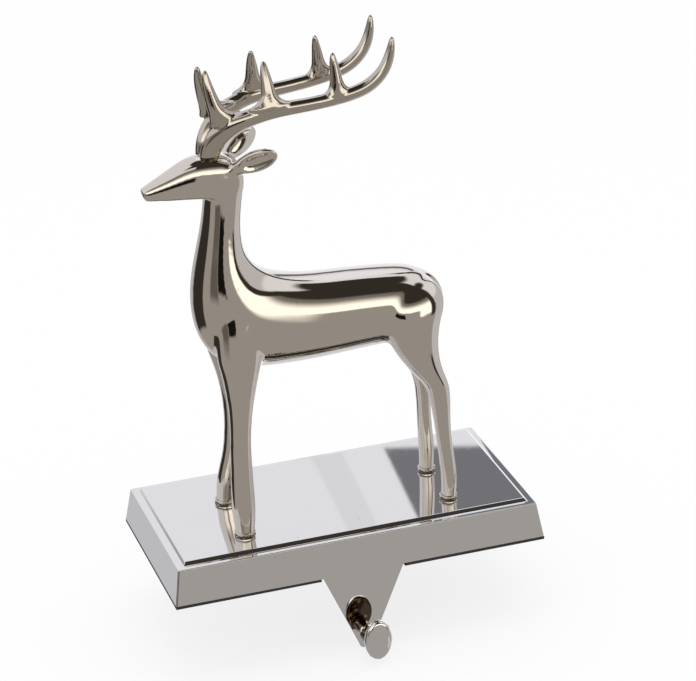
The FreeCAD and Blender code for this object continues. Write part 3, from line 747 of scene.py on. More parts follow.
@dataclass
class Stag:
    """The standing stag, sculpted from limbs that are fused into one skin. Sizes in millimetres."""

    datum: Datum
    voxel: float = 0.55
    body_smoothing: int = 9
    skin_smoothing: int = 63
    head_power: float = 2.7
    firm_over: float = 142.0
    tail_over: float = 78.0
    tail_x: float = 36.0
    tail_half_width: float = 4.6
    ease: float = 4.0
    collar_heights: tuple[float, float] = (0.15, 1.75)
    collar_thickness: float = 0.34
    collar_gap: float = 0.1
    # Cuts of the head: a point of the plane as X and height, and the plane's normal.
    jaw_cut: tuple[tuple[float, float], Point] = ((-74.6, 146.6), (-0.03, 0, -1))
    snout_cut: tuple[tuple[float, float], Point] = ((-74.0, 148.5), (-0.96, 0, -0.28))
    # Trunk: X, height of the middle, lean of the section from upright in degrees, half depth, half width.
    trunk_rows: Rows = (
        (47.2, 80.7, 0.0, 5.3, 5.1),
        (45.4, 81.1, 0.0, 11.4, 9.9),
        (41.8, 83.0, 0.0, 14.8, 13.4),
        (36.0, 85.2, 0.0, 15.9, 15.2),
        (27.0, 86.0, 0.0, 16.4, 15.7),
        (9.9, 86.3, 0.0, 17.6, 15.7),
        (-5.1, 86.0, 0.0, 18.3, 15.8),
        (-17.0, 87.0, 0.0, 19.4, 16.2),
        (-30.2, 88.5, 15.8, 21.1, 16.5),
        (-38.3, 92.5, 24.0, 21.7, 16.2),
        (-43.8, 99.5, 32.6, 20.6, 15.3),
        (-46.3, 109.3, 42.0, 17.2, 13.6),
        (-45.8, 120.1, 47.6, 14.3, 11.6),
        (-44.0, 129.7, 53.4, 11.5, 10.0),
        (-42.3, 138.1, 59.5, 10.0, 9.2),
        (-41.3, 145.6, 68.0, 8.9, 8.7),
        (-41.5, 152.5, 75.0, 7.8, 8.0),
    )
    # Head: X, height of the roof and of the jaw, half width.
    head_rows: Rows = (
        (-80.0, 148.9, 146.8, 1.9),
        (-74.6, 151.7, 146.7, 2.9),
        (-70.6, 153.7, 146.6, 3.9),
        (-67.0, 155.5, 146.5, 4.8),
        (-63.0, 157.5, 146.4, 5.8),
        (-54.6, 162.0, 146.2, 7.6),
        (-49.0, 162.6, 145.2, 8.5),
        (-41.0, 162.0, 144.5, 8.7),
        (-35.0, 158.5, 145.5, 7.4),
        (-33.0, 155.0, 148.0, 4.5),
    )
    # Tail: X, height, half thickness, half width.
    tail_rows: Rows = (
        (31.0, 99.0, 1.5, 2.0),
        (38.0, 97.5, 2.6, 4.2),
        (44.4, 93.4, 3.0, 4.8),
        (48.0, 86.4, 2.4, 3.6),
        (49.1, 79.5, 0.9, 1.2),
    )
    # Ear: distance from the root, half width, half thickness.
    ear_rows: Rows = (
        (-1.5, 1.8, 1.7),
        (0.0, 2.2, 2.1),
        (4.4, 3.9, 3.0),
        (10.0, 5.2, 3.5),
        (15.4, 4.6, 3.1),
        (18.8, 2.8, 2.0),
        (20.2, 1.1, 0.8),
    )
    # Hollow of the ear: how far out, how deep and how broad, as shares of the leaf.
    ear_scoop: Point = (0.95, 0.92, 0.74)
    ear_root: Point = (-38.6, 6.4, 156.6)
    ear_line: Point = (0.80, 0.46, 0.385)
    ear_facing: Point = (-0.61, 0.74, -0.31)

    def build(self) -> Mesh:
        """Build the stag and return its mesh."""
        forms = [self._trunk(), self._head(), self._tail()]
        forms += [self._ear(side) for side in Side]
        forms += [Limb(self.datum, leg.name, leg.stations()).build() for leg in LEGS]
        figure = join_pieces("stag_figure", forms)
        finish_origin(figure)
        fuse_by_voxels(figure, self.voxel)
        self._smooth(figure)
        cut_flat(figure, self.datum.point(0, 0, 0), Facing.DOWN.value)
        figure = join_pieces("stag_figure", [figure, *self._collars()])
        smooth_shading(figure, limit=55)
        return figure

    def _collars(self) -> list[Mesh]:
        """Make the thin beads that run round each hoof where it meets the plate and just above."""
        collars = []
        for leg in LEGS:
            for height in self.collar_heights:
                collar = added(
                    bpy.ops.mesh.primitive_torus_add,
                    f"{leg.name}_collar",
                    major_radius=(leg.hoof + self.collar_gap) * MM,
                    minor_radius=self.collar_thickness * MM,
                    major_segments=40,
                    minor_segments=8,
                    location=self.datum.point(leg.x + leg.slip, leg.y, height),
                )
                finish_origin(collar)
                cut_flat(collar, self.datum.point(0, 0, 0), Facing.DOWN.value)
                collars.append(collar)
        return collars

    def _trunk(self) -> Mesh:
        """Make the torso and neck as one form."""
        stations = [Station(x, 0, z, deep, wide, lean - 90) for x, z, lean, deep, wide in self.trunk_rows]
        return Limb(self.datum, "trunk", stations, points=16).build()

    def _head(self) -> Mesh:
        """Make the wedge of the head, with its flat underside and blunt cut snout."""
        middle = 0.40
        stations = []
        for x, roof, jaw, half_width in self.head_rows:
            centre = jaw + middle * (roof - jaw)
            stations.append(Station(x, 0, centre, roof - centre, half_width, turn=-90))
        head = Limb(self.datum, "head", stations, points=16, power=self.head_power, levels=3).build()
        finish_origin(head)
        for (x, height), normal in (self.jaw_cut, self.snout_cut):
            cut_flat(head, self.datum.point(x, 0, height), normal)
        return head

    def _tail(self) -> Mesh:
        """Make the tail that lies on the rump, with strands of hair along it."""
        turns = turns_along([(row[0], row[1]) for row in self.tail_rows])
        rows = list(zip(self.tail_rows, turns))
        core = [Station(x, 0, z, deep, wide, turn) for (x, z, deep, wide), turn in rows]
        forms = [Limb(self.datum, "tail", core).build()]
        strands, span, sink = 7, 0.85, 0.95
        thick, broad = 0.75, 0.62
        for number in range(strands):
            share = span * (2 * number / (strands - 1) - 1)
            stations = []
            for (x, z, deep, wide), turn in rows:
                tilt = math.radians(turn)
                out = deep * math.sqrt(1 - share ** 2) * sink
                place = (x + out * math.cos(tilt), share * wide, z - out * math.sin(tilt))
                stations.append(Station(*place, thick, broad, turn))
            forms.append(Limb(self.datum, f"tail_strand_{number}", stations, points=6, levels=1).build())
        return join_pieces("tail", forms)

    def _ear(self, side: Side) -> Mesh:
        """Make one ear: a leaf that points back and out, hollowed on its outer underside."""
        still = Datum(0, 0, 0, 0)
        leaf = [Station(x, 0, 0, thick, wide, 90) for x, wide, thick in self.ear_rows]
        ear = Limb(still, f"ear_{side.name.lower()}", leaf).build()
        out, deep, broad = self.ear_scoop
        hollow = [
            Station(x, 0, out * thick, deep * thick, broad * wide, 90) for x, wide, thick in self.ear_rows[2:]
        ]
        combine(ear, Limb(still, "ear_hollow", hollow).build(), "DIFFERENCE")
        line = Vector(self.ear_line)
        line.y *= side.value
        line.normalize()
        opening = Vector(self.ear_facing)
        opening.y *= side.value
        opening = (opening - line * opening.dot(line)).normalized()
        across = opening.cross(line)
        root = self.datum.point(self.ear_root[0], side.value * self.ear_root[1], self.ear_root[2])
        stand(ear, root, line, across, opening)
        finish_origin(ear)
        return ear

    def _smooth(self, figure: Mesh) -> None:
        """Smooth the fused skin, and the head, ears and tail a little less than the rest."""
        head_low = self.datum.plate_z + self.firm_over * MM
        tail_low = self.datum.plate_z + self.tail_over * MM
        body = figure.vertex_groups.new(name="body")
        for vert in figure.data.vertices:
            place = vert.co
            beside = abs(place.y - self.datum.figure_y) - self.tail_half_width * MM
            off_tail = max(self.tail_x * MM - place.x, tail_low - place.z, beside)
            share = min(head_low - place.z, off_tail) / (self.ease * MM)
            body.add([vert.index], min(max(share, 0.0), 1.0), "REPLACE")
        smooth_out(figure, self.body_smoothing, "body")
        figure.vertex_groups.clear()
        smooth_out(figure, self.skin_smoothing)


ANTLER_LIFTS = {Side.LEFT: 0.0, Side.RIGHT: 2.3}


@dataclass
class Antler:
    """One antler: a ridged beam with three tines, in millimetres from its foot in the head."""

    datum: Datum
    side: Side
    foot: tuple[float, float] = (-46.3, 159.45)
    lift: float = 0.0
    power: float = 1.8
    voxel: float = 0.33
    smoothing: int = 14
    # X, height, distance from the figure's middle plane, half thickness within the plane and across it.
    beam_rows: Rows = (
        (-0.9, -3.0, 2.9, 3.7, 2.5),
        (-0.7, 1.0, 2.9, 3.9, 2.5),
        (-0.2, 4.4, 3.1, 4.2, 2.7),
        (1.1, 7.8, 3.8, 4.5, 3.0),
        (4.2, 12.4, 5.3, 4.5, 3.4),
        (8.6, 15.9, 7.0, 4.2, 3.4),
        (14.2, 18.3, 8.5, 3.7, 3.1),
        (24.0, 20.4, 9.5, 3.3, 2.8),
        (35.5, 20.6, 9.8, 2.9, 2.5),
        (46.5, 21.3, 10.0, 2.9, 2.5),
        (58.0, 22.8, 10.2, 2.9, 2.5),
        (64.9, 25.4, 10.2, 3.0, 2.5),
        (70.3, 30.4, 10.2, 2.7, 2.2),
        (72.7, 36.1, 10.2, 2.2, 1.9),
        (73.6, 40.7, 10.2, 1.55, 1.4),
        (73.9, 44.3, 10.2, 0.75, 0.7),
    )
    # The same from above the hollow where each tine meets the beam.
    tine_rows: tuple[Rows, ...] = (
        (
            (1.6, 25.2, 5.0, 2.9, 2.6),
            (0.9, 28.2, 4.5, 2.6, 2.3),
            (0.1, 32.0, 3.9, 2.15, 2.0),
            (-0.4, 36.0, 3.1, 1.5, 1.35),
            (-0.2, 38.5, 2.8, 0.75, 0.7),
        ),
        (
            (23.0, 28.6, 8.6, 2.9, 2.4),
            (22.9, 31.2, 8.0, 2.6, 2.2),
            (22.6, 34.5, 7.1, 2.1, 1.9),
            (22.5, 37.6, 6.2, 1.5, 1.35),
            (22.5, 40.0, 5.7, 0.75, 0.7),
        ),
        (
            (50.6, 29.4, 9.6, 2.6, 2.1),
            (50.4, 32.0, 9.4, 2.3, 1.9),
            (50.1, 35.2, 9.0, 1.85, 1.65),
            (49.8, 38.2, 8.7, 1.35, 1.2),
            (49.9, 40.5, 8.5, 0.7, 0.65),
        ),
    )
    # Where each tine meets the beam: roundings ahead of it and behind it, and height of the beam's crest.
    root_rows: Rows = ((1.2, 9.4, 18.6), (6.2, 6.8, 22.9), (5.8, 5.8, 23.9))
    root_steps: int = 4
    root_sunk: float = 2.0
    root_broader: float = 0.2

    def build(self) -> Mesh:
        """Build the antler and return its mesh."""
        limbs = [self._limb("beam", self.beam_rows)]
        for number, (rows, root) in enumerate(zip(self.tine_rows, self.root_rows)):
            roots = self._root(rows[0], rows[1], *root)
            limbs.append(self._limb(f"tine_{number}", roots + list(rows), steady=len(roots)))
        antler = join_pieces(f"antler_{self.side.name.lower()}", limbs)
        finish_origin(antler)
        fuse_by_voxels(antler, self.voxel)
        smooth_out(antler, self.smoothing)
        self._turn_up(antler)
        smooth_shading(antler, limit=60)
        return antler

    def _root(
        self, first: Sequence[float], second: Sequence[float], ahead: float, behind: float, crest: float
    ) -> list[tuple[float, ...]]:
        """Return rows that spread a tine into the beam in two quarter rounds.

        Args:
            first: The tine's lowest row.
            second: The row above it.
            ahead: Rounding on the side of the snout.
            behind: Rounding on the side of the tail.
            crest: Height of the beam's crest at the tine.

        Returns:
            The rows from inside the beam upwards.
        """
        x, z, away, deep, wide = first
        lean = (second[0] - x) / (second[1] - z)
        slip = (second[2] - away) / (second[1] - z)
        rounds = quarter_round(self.root_steps)[:-1]
        rows = []
        for sunk, (rise, out) in [(self.root_sunk, rounds[0])] + [(0.0, step) for step in rounds]:
            height = crest + (z - crest) * rise - sunk
            drop = height - z
            place = x + lean * drop + (behind - ahead) / 2 * out
            half = deep + (behind + ahead) / 2 * out
            rows.append((place, height, away + slip * drop, half, wide + self.root_broader * out))
        return rows

    def _limb(self, name: str, rows: Sequence[Sequence[float]], steady: int = 0) -> Mesh:
        """Make the beam or one tine.

        Args:
            name: Name of the limb.
            rows: Its rows from its root to its tip.
            steady: How many rows at the root turn no further than the row after them.

        Returns:
            The closed limb.
        """
        foot_x, foot_z = self.foot
        turns = turns_along([(row[0], row[1]) for row in rows[steady:]])
        turns = turns[:1] * steady + turns
        stations = [
            Station(foot_x + x, self.side.value * away, foot_z + z, deep, wide, turn)
            for (x, z, away, deep, wide), turn in zip(rows, turns)
        ]
        return Limb(self.datum, name, stations, points=8, power=self.power).build()

    def _turn_up(self, antler: Mesh) -> None:
        """Turn the antler up about its foot by its lift."""
        activate(antler)
        foot = self.datum.point(self.foot[0], 0, self.foot[1])
        bpy.ops.transform.rotate(value=math.radians(self.lift), orient_axis="Y", center_override=foot)
        finish_origin(antler)


@dataclass
class FeltPad:
    """The black pad under the base, notched round the tab. Sizes in millimetres."""

    datum: Datum
    swell: float = 0.32
    tab_half_width: float = 18.1
    notch_back: float = 19.7

    def build(self) -> Mesh:
        """Build the pad and return its mesh."""
        low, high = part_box("felt_pad")
        size = high - low
        edge = Vector((2 * self.swell * MM, 2 * self.swell * MM, 0))
        middle = (low + high) / 2
        pad = added(bpy.ops.mesh.primitive_cube_add, "felt_underside", size=1, location=middle)
        with edit_mode(pad):
            bpy.ops.transform.resize(value=size + edge)
        finish_origin(pad)
        notch_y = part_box("base_casting")[0].y + self.notch_back * MM
        half = self.tab_half_width * MM
        with edit_mode(pad):
            score(pad, half, notch_y)

            def notch(face: Face) -> bool:
                centre = face.calc_center_median()
                return abs(centre.x) < half - NEAR and centre.y < notch_y - NEAR

            pick_faces(pad, notch)
            bpy.ops.mesh.delete(type="FACE")
            pick_edges(pad, lambda edge: edge.is_boundary)
            bpy.ops.mesh.bridge_edge_loops()
        return pad


class Shader:
    """A node tree that is filled node by node."""

    def __init__(self, tree: bpy.types.NodeTree):
        """Keep the tree to fill."""
        self.tree = tree

    def node(self, kind: str, **settings: object) -> bpy.types.Node:
        """Add a node and set its properties.

        Args:
            kind: The node's type, without the ShaderNode before it where it has that.
            **settings: Values for the node's properties.

        Returns:
            The new node.
        """
        name = kind if kind.startswith("Node") else f"ShaderNode{kind}"
        made = self.tree.nodes.new(name)
        for setting, value in settings.items():
            setattr(made, setting, value)
        return made

    def link(self, source: Socket, target: Socket) -> None:
        """Link two sockets."""
        self.tree.links.new(source, target)

    def math(self, operation: str, *terms: object) -> Socket:
        """Add a math node on its terms, each a socket or a number, and return its output."""
        made = self.node("Math", operation=operation)
        for place, value in enumerate(terms):
            if isinstance(value, (int, float)):
                made.inputs[place].default_value = value
            else:
                self.link(value, made.inputs[place])
        return made.outputs[0]

    def noise(self, scale: float, detail: float, vector: Optional[Socket] = None) -> Socket:
        """Add a noise texture, read on the object's own coordinates or a vector, and return its value."""
        made = self.node("TexNoise")
        made.inputs["Scale"].default_value = scale
        made.inputs["Detail"].default_value = detail
        if vector is None:
            vector = self.node("TexCoord").outputs["Object"]
        self.link(vector, made.inputs["Vector"])
        return made.outputs["Fac"]

    def between(self, value: Socket, low: float, high: float) -> Socket:
        """Return a value mapped so that low becomes 0 and high becomes 1, eased and clamped."""
        made = self.node("MapRange", interpolation_type="SMOOTHSTEP")
        self.link(value, made.inputs["Value"])
        made.inputs["From Min"].default_value = low
        made.inputs["From Max"].default_value = high
        return made.outputs["Result"]

    def window(self, value: Socket, low: float, high: float, soft: float, fade: float) -> Socket:
        """Return 1 where a value lies between two limits, and 0 elsewhere, with soft edges.

        Args:
            value: The value.
            low: The lower limit.
            high: The upper limit.
            soft: Half width of the lower edge.
            fade: Half width of the upper edge.

        Returns:
            The share.
        """
        start = self.between(value, low - soft, low + soft)
        stop = self.between(value, high - fade, high + fade)
        return self.math("MULTIPLY", start, self.math("SUBTRACT", 1.0, stop))

    def blend(self, share: Socket, first: object, second: object) -> Socket:
        """Return a mix of two colours, each a socket or a colour, by a share."""
        made = self.node("Mix", data_type="RGBA")
        factor, colour_a, colour_b, mixed = made.inputs[0], made.inputs[6], made.inputs[7], made.outputs[2]
        for socket, value in ((factor, share), (colour_a, first), (colour_b, second)):
            if isinstance(value, Socket):
                self.link(value, socket)
            else:
                socket.default_value = (*value, 1)
        return mixed


class Finish(Shader):
    """The node tree of a new material round its Principled node."""

    def __init__(self, name: str):
        """Make the material."""
        self.material = bpy.data.materials.new(name)
        self.material.use_nodes = True
        super().__init__(self.material.node_tree)
        self.surface = self.tree.nodes["Principled BSDF"]

    def set(self, name: str, value: object) -> None:
        """Set one of the Principled node's inputs."""
        self.surface.inputs[name].default_value = value

    def feed(self, name: str, source: Socket) -> None:
        """Link a socket to one of the Principled node's inputs."""
        self.link(source, self.surface.inputs[name])

    def bump(self, height: Socket, depth: float, strength: float = 1.0) -> None:
        """Raise the surface by a height, with its depth in millimetres."""
        bump = self.node("Bump")
        bump.inputs["Strength"].default_value = strength
        bump.inputs["Distance"].default_value = depth * MM
        self.link(height, bump.inputs["Height"])
        self.feed("Normal", bump.outputs["Normal"])


def new_group(
    name: str, given: dict[str, str], results: dict[str, str]
) -> tuple[Shader, list[Socket], list[Socket]]:
    """Make an empty node group.

    Args:
        name: Name of the group.
        given: Kind of each input by its name.
        results: Kind of each output by its name.

    Returns:
        The group's shader, the sockets that hold its inputs and those that take its outputs.
    """
    tree = bpy.data.node_groups.new(name, "ShaderNodeTree")
    for way, sockets in (("INPUT", given), ("OUTPUT", results)):
        for title, kind in sockets.items():
            tree.interface.new_socket(title, in_out=way, socket_type=f"NodeSocket{kind}")
    shader = Shader(tree)
    source = shader.node("NodeGroupInput")
    target = shader.node("NodeGroupOutput")
    return shader, list(source.outputs)[:len(given)], list(target.inputs)[:len(results)]


def polish_group() -> bpy.types.NodeTree:
    """Build the shared effect of hand polishing: swirls in the gloss, soft waves and rare dark specks."""
    results = {"Gloss": "Float", "Waves": "Float", "Specks": "Float"}
    shader, (strength,), (gloss, waves, specks) = new_group("polish", {"Swirls": "Float"}, results)
    swirls = shader.between(shader.noise(scale=420, detail=5), low=0.3, high=0.8)
    shader.link(shader.math("MULTIPLY", swirls, strength), gloss)
    shader.link(shader.noise(scale=70, detail=1.5), waves)
    grains = shader.between(shader.noise(scale=1500, detail=1), low=0.745, high=0.775)
    places = shader.between(shader.noise(scale=45, detail=2), low=0.52, high=0.66)
    shader.link(shader.math("MULTIPLY", grains, places), specks)
    return shader.tree


def tarnish_and_shade_group() -> bpy.types.NodeTree:
    """Build the shared tarnish and painted shade: a colour from dark brown to gold, and its share within a
    mask.
    """
    results = {"Colour": "Color", "Share": "Float"}
    shader, (mask,), (colour, share) = new_group("tarnish_and_shade", {"Mask": "Float"}, results)
    brown, gold = (0.055, 0.034, 0.02), (0.46, 0.33, 0.16)
    golden = shader.between(shader.noise(scale=260, detail=3), low=0.50, high=0.72)
    shader.link(shader.blend(golden, brown, gold), colour)
    ragged = shader.math("MULTIPLY", shader.noise(scale=600, detail=4), 0.5)
    shader.link(shader.between(shader.math("ADD", mask, ragged), low=0.62, high=0.95), share)
    return shader.tree


@dataclass(frozen=True)
class Effects:
    """The node groups that the nickel finishes share."""

    polish: bpy.types.NodeTree
    tarnish_and_shade: bpy.types.NodeTree


@dataclass(frozen=True)
class NickelPlate:
    """Polished nickel plating with faint marks from its polishing, a few specks and, in one stretch, a dark
    brown to gold colour: tarnish on the figure and antlers, painted shade on the base.

    Attributes:
        name: Name of the material.
        tint: Its colour.
        roughness: Its least roughness.
        swirls: How much rougher the polishing marks are.
        waviness: Height of the soft waves in millimetres.
        tarnish_and_shade_axis: Axis along which the stretch of tarnish and painted shade is bounded: 1 is
            across the base and 2 is up.
        tarnish_and_shade_range: Where that stretch starts and ends along that axis, in metres.
        tarnish_and_shade_edge: Half width of its edges in metres.
    """

    name: str
    tint: Colour
    roughness: float
    swirls: float
    waviness: float
    tarnish_and_shade_axis: int
    tarnish_and_shade_range: tuple[float, float]
    tarnish_and_shade_edge: float

    def build(self, effects: Effects) -> bpy.types.Material:
        """Build the material with the shared effects."""
        speck_colour = (0.08, 0.06, 0.045)
        tarnish_and_shade_roughness = 0.12
        finish = Finish(self.name)
        finish.set("Metallic", 1.0)
        polish = finish.node("Group", node_tree=effects.polish)
        polish.inputs["Swirls"].default_value = self.swirls
        tarnish_and_shade = finish.node("Group", node_tree=effects.tarnish_and_shade)
        place = finish.node("SeparateXYZ")
        finish.link(finish.node("TexCoord").outputs["Object"], place.inputs[0])
        along = place.outputs[self.tarnish_and_shade_axis]
        edge = self.tarnish_and_shade_edge
        finish.link(finish.window(along, *self.tarnish_and_shade_range, edge, edge), tarnish_and_shade.inputs["Mask"])
        share = tarnish_and_shade.outputs["Share"]

        rough = finish.math("ADD", polish.outputs["Gloss"], self.roughness)
        finish.feed("Roughness", finish.math("ADD", rough, finish.math("MULTIPLY", share, tarnish_and_shade_roughness)))
        specked = finish.blend(polish.outputs["Specks"], self.tint, speck_colour)
        finish.feed("Base Color", finish.blend(share, specked, tarnish_and_shade.outputs["Colour"]))
        finish.bump(polish.outputs["Waves"], self.waviness)
        return finish.material


@dataclass(frozen=True)
class BlackFelt:
    """Matt black felt with a short nap."""

    name: str = "black_felt_finish"
    dark: Colour = (0.012, 0.012, 0.013)
    light: Colour = (0.035, 0.034, 0.036)

    def build(self) -> bpy.types.Material:
        """Build the material."""
        finish = Finish(self.name)
        finish.set("Roughness", 0.95)
        finish.set("Sheen Weight", 0.04)
        nap = finish.noise(scale=2600, detail=5)
        finish.feed("Base Color", finish.blend(nap, self.dark, self.light))
        finish.bump(nap, depth=0.2, strength=0.6)
        return finish.material


@dataclass(frozen=True)
class RawSteel:
    """Plain steel with fine lines from its making, along one axis."""

    name: str
    tint: Colour = (0.44, 0.43, 0.42)
    stretch: Point = (60, 1600, 60)

    def build(self) -> bpy.types.Material:
        """Build the material."""
        finish = Finish(self.name)
        finish.set("Metallic", 1.0)
        mapping = finish.node("Mapping")
        mapping.inputs["Scale"].default_value = self.stretch
        finish.link(finish.node("TexCoord").outputs["Object"], mapping.inputs["Vector"])
        lines = finish.noise(scale=1.0, detail=3, vector=mapping.outputs["Vector"])
        darker = tuple(part * 0.75 for part in self.tint)
        finish.feed("Base Color", finish.blend(lines, darker, self.tint))
        finish.feed("Roughness", finish.math("MULTIPLY_ADD", lines, 0.25, 0.25))
        return finish.material


def nickel_plates(datum: Datum, base: BaseCasting) -> dict[str, NickelPlate]:
    """Return the plating of the base, the figure and the antlers: the figure and antlers are tarnished where
    polishing can't reach, and the base's peg and button back are darkened with painted shade.

    Args:
        datum: The shared places.
        base: The base's sizes.

    Returns:
        The three finishes by name.
    """
    across, upright = 1, 2
    front = -base.width / 2
    button_back = front - base.hook_gap
    plate = datum.plate_z
    return {
        "base": NickelPlate(
            name="nickel_base",
            tint=(0.77, 0.765, 0.76),
            roughness=0.010,
            swirls=0.010,
            waviness=0.0007,
            tarnish_and_shade_axis=across,
            # Painted shade: the peg and the back of the button, in the gap between the tab and the button,
            # are coloured dark brown to gold.
            tarnish_and_shade_range=((button_back - 0.9) * MM, (front - 0.7) * MM),
            tarnish_and_shade_edge=0.5 * MM,
        ),
        "figure": NickelPlate(
            name="nickel_figure",
            tint=(0.66, 0.615, 0.56),
            roughness=0.035,
            swirls=0.03,
            waviness=0.006,
            tarnish_and_shade_axis=upright,
            tarnish_and_shade_range=(plate - 5 * MM, plate + 0.5 * MM),
            tarnish_and_shade_edge=0.9 * MM,
        ),
        "antlers": NickelPlate(
            name="nickel_antlers",
            tint=(0.52, 0.475, 0.42),
            roughness=0.045,
            swirls=0.04,
            waviness=0.006,
            tarnish_and_shade_axis=upright,
            tarnish_and_shade_range=(plate + 156 * MM, plate + 162.6 * MM),
            tarnish_and_shade_edge=0.7 * MM,
        ),
    }


def dress(piece: Mesh, material: bpy.types.Material) -> None:
    """Give every slot of an object one material."""
    if not piece.data.materials:
        piece.data.materials.append(material)
    for index in range(len(piece.data.materials)):
        piece.data.materials[index] = material


def place_piece(piece: Mesh, slot: str, *nodes: str) -> None:
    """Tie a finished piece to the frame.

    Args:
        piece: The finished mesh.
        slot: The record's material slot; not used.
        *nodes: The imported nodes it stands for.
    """
    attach(piece, "root")
    if nodes:
        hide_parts(*nodes)
    log.info("%s: %d faces", piece.name, len(piece.data.polygons))


@dataclass(frozen=True)
class Zone:
    """A part of the room as the object sees it.

    Attributes:
        azimuth: Range in degrees, where 0 is the hook side and 90 the +X side.
        elevation: Range in degrees over the horizon.
        colour: Its light.
        soft: Half width of its edges in degrees.
        fade: Half width of its upper edge in degrees, or None for the same.
        slant: Degrees that its upright edges lean for each degree of elevation.
    """

    azimuth: tuple[float, float]
    elevation: tuple[float, float]
    colour: Colour
    soft: float = 1.5
    fade: Optional[float] = None
    slant: float = 0.0


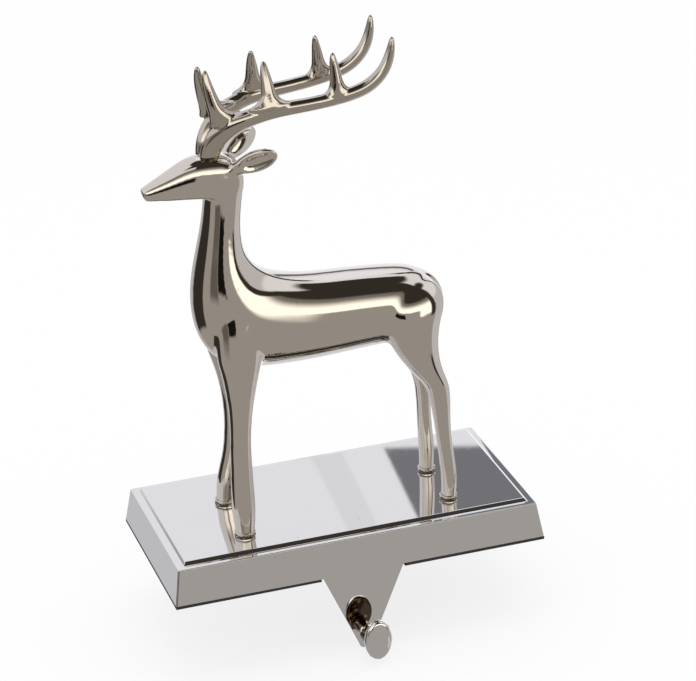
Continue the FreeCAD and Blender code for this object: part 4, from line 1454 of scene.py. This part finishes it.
@dataclass
class Studio:
    """The pale floor, the white surroundings, the soft light and the camera. Sizes in metres."""

    datum: Datum
    # Camera: angles in degrees, shifts of its aim in metres, lens and sensor in millimetres.
    azimuth: float = -17.476
    elevation: float = 24.731
    roll: float = -2.202
    distance: float = 1.247218
    across: float = 0.006473
    above: float = 0.079144
    focal_length: float = 152.3
    sensor: float = 36.0
    floor_size: float = 6.0
    floor_gap: float = 0.0005
    floor_glow: float = 0.8
    lamp_place: Point = (0, 0.1, 1.3)
    lamp_size: tuple[float, float] = (1.2, 0.8)
    lamp_energy: float = 4.0
    open_room: Colour = (0.93, 0.93, 0.97)
    bright: Colour = (1.15, 1.18, 1.28)
    warm_gray: Colour = (0.43, 0.405, 0.38)
    cream: Colour = (1.75, 1.68, 1.52)
    dark: Colour = (0.045, 0.038, 0.032)
    black: Colour = (0.012, 0.01, 0.008)

    def zones(self) -> tuple[Zone, ...]:
        """Return the zones of the room from the first painted to the last."""
        return (
            Zone((130, 181), (-46, 24), self.bright, soft=2),
            Zone((110, 181), (42, 68), self.bright, soft=4),
            Zone((62, 128), (-91, 59), (0.70, 0.69, 0.70), soft=3),
            Zone((62, 128), (28, 64), (1.02, 1.02, 1.06), soft=5),
            Zone((122, 129), (-30, 58), self.dark, soft=1.5),
            Zone((-181, -146), (-60, 2), (0.60, 0.60, 0.63), soft=2),
            Zone((-150, 64), (-91, 10), self.warm_gray),
            Zone((-146, -96), (-36, 0), self.dark, soft=2),
            Zone((-67, -37), (-14, 3), (0.16, 0.14, 0.12), soft=4),
            Zone((-50, 60), (9, 47), (0.25, 0.23, 0.21), soft=2),
            Zone((-47, 49), (9, 27), self.cream, soft=1.5, fade=9),
            Zone((22, 48), (-7, 11), self.cream, soft=3),
            Zone((49, 61), (-15, 45), self.dark, soft=2),
            Zone((-36, -9), (-9, 3.5), self.black, soft=1.5),
            Zone((-18, 62), (40, 91), self.dark, soft=3),
            Zone((-60, 108), (58, 91), self.dark, soft=2.5),
            Zone((-181, 181), (72, 91), self.dark, soft=2),
            Zone((176.2, 176.9), (20, 40), (0.84, 0.84, 0.87), soft=0.06, slant=0.5),
            Zone((173.6, 175.2), (26.05, 26.46), (0.24, 0.24, 0.26), soft=0.03, slant=0.5),
            Zone((150, 175.25), (26.84, 36), (0.21, 0.21, 0.23), soft=0.06, slant=0.5),
        )

    def build(self) -> None:
        """Build the whole studio."""
        self._camera()
        self._floor()
        self._surroundings()
        self._lights()

    def _camera(self) -> None:
        """Place the camera at the photograph's viewing angle."""
        azimuth, elevation = math.radians(self.azimuth), math.radians(self.elevation)
        level = math.cos(elevation)
        back = Vector((math.sin(azimuth) * level, -math.cos(azimuth) * level, math.sin(elevation)))
        right = (-back).cross(Vector((0, 0, 1))).normalized()
        up = right.cross(-back)
        roll = math.radians(self.roll)
        rolled_right = right * math.cos(roll) + up * math.sin(roll)
        rolled_up = up * math.cos(roll) - right * math.sin(roll)
        data = bpy.data.cameras.new("camera")
        data.lens = self.focal_length
        data.sensor_width = self.sensor
        data.clip_start, data.clip_end = 0.05, 20
        camera = bpy.data.objects.new("camera", data)
        bpy.context.scene.collection.objects.link(camera)
        centre = Vector((0, 0, self.datum.foot_z))
        place = centre + back * self.distance + rolled_right * self.across + rolled_up * self.above
        stand(camera, place, rolled_right, rolled_up, back)
        bpy.context.scene.camera = camera

    def _floor(self) -> None:
        """Lay the pale floor just under the tip of the tab."""
        height = self.datum.low_z - self.floor_gap
        place = (0, 0, height)
        floor = added(bpy.ops.mesh.primitive_plane_add, "floor", size=self.floor_size, location=place)
        finish = Finish("pale_floor")
        finish.set("Base Color", (0.9, 0.9, 0.9, 1))
        finish.set("Roughness", 0.9)
        glow = finish.node("Emission")
        mix = finish.node("MixShader")
        paths = finish.node("LightPath")
        seen = finish.math("MAXIMUM", paths.outputs["Is Camera Ray"], paths.outputs["Is Glossy Ray"])
        seen = finish.math("MAXIMUM", seen, paths.outputs["Is Transmission Ray"])
        finish.link(finish.math("MULTIPLY", seen, self.floor_glow), mix.inputs["Fac"])
        finish.link(finish.surface.outputs["BSDF"], mix.inputs[1])
        finish.link(glow.outputs["Emission"], mix.inputs[2])
        finish.link(mix.outputs["Shader"], finish.tree.nodes["Material Output"].inputs["Surface"])
        dress(floor, finish.material)
        floor.visible_glossy = False

    def _surroundings(self) -> None:
        """Surround the object with the studio's zones, which the metal mirrors, before plain white."""
        world = bpy.data.worlds.new("studio")
        bpy.context.scene.world = world
        world.use_nodes = True
        shader = Shader(world.node_tree)
        direction = shader.node("SeparateXYZ")
        shader.link(shader.node("TexCoord").outputs["Generated"], direction.inputs[0])
        x, y, z = direction.outputs
        azimuth = shader.math("ARCTAN2", x, shader.math("MULTIPLY", y, -1.0))
        elevation = shader.math("ARCSINE", z)
        colour: object = self.open_room
        for zone in self.zones():
            leaning = shader.math("MULTIPLY_ADD", elevation, zone.slant, azimuth) if zone.slant else azimuth
            soft = math.radians(zone.soft)
            fade = soft if zone.fade is None else math.radians(zone.fade)
            level = shader.window(leaning, *map(math.radians, zone.azimuth), soft, soft)
            upright = shader.window(elevation, *map(math.radians, zone.elevation), soft, fade)
            colour = shader.blend(shader.math("MULTIPLY", level, upright), colour, zone.colour)
        paths = shader.node("LightPath")
        colour = shader.blend(paths.outputs["Is Diffuse Ray"], colour, self.open_room)
        colour = shader.blend(paths.outputs["Is Camera Ray"], colour, (1.0, 1.0, 1.0))
        shader.link(colour, world.node_tree.nodes["Background"].inputs["Color"])

    def _lights(self) -> None:
        """Hang the soft light."""
        data = bpy.data.lights.new("overhead", "AREA")
        data.shape = "RECTANGLE"
        data.size, data.size_y = self.lamp_size
        data.energy = self.lamp_energy
        lamp = bpy.data.objects.new("overhead", data)
        lamp.location = self.lamp_place
        lamp.visible_glossy = False
        bpy.context.scene.collection.objects.link(lamp)


def main() -> None:
    """Build every piece, dress it and set up the studio."""
    logging.basicConfig(level=logging.INFO, format="%(name)s: %(message)s")
    bpy.context.scene.view_settings.view_transform = "Standard"
    datum = Datum.from_frame()
    effects = Effects(polish_group(), tarnish_and_shade_group())
    base_maker = BaseCasting(datum)
    nickel = {name: plate.build(effects) for name, plate in nickel_plates(datum, base_maker).items()}

    base = base_maker.build()
    dress(base, nickel["base"])
    place_piece(base, "base_plating", "base_casting")
    stag = Stag(datum).build()
    dress(stag, nickel["figure"])
    place_piece(stag, "figure_plating", "deer_casting")
    for side in Side:
        antler = Antler(datum, side, lift=ANTLER_LIFTS[side]).build()
        dress(antler, nickel["antlers"])
        place_piece(antler, "antler_plating", f"{side.name.lower()}_antler")
    pad = FeltPad(datum).build()
    dress(pad, BlackFelt().build())
    place_piece(pad, "black_felt", "felt_pad")

    steel = RawSteel("ballast_steel_finish").build()
    dress(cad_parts["ballast_plate"], steel)
    screw_steel = RawSteel("screw_steel_finish", stretch=(700, 700, 90)).build()
    dress(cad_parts["figure_screws"], screw_steel)
    Studio(datum).build()


if __name__ == "__main__":
    main()
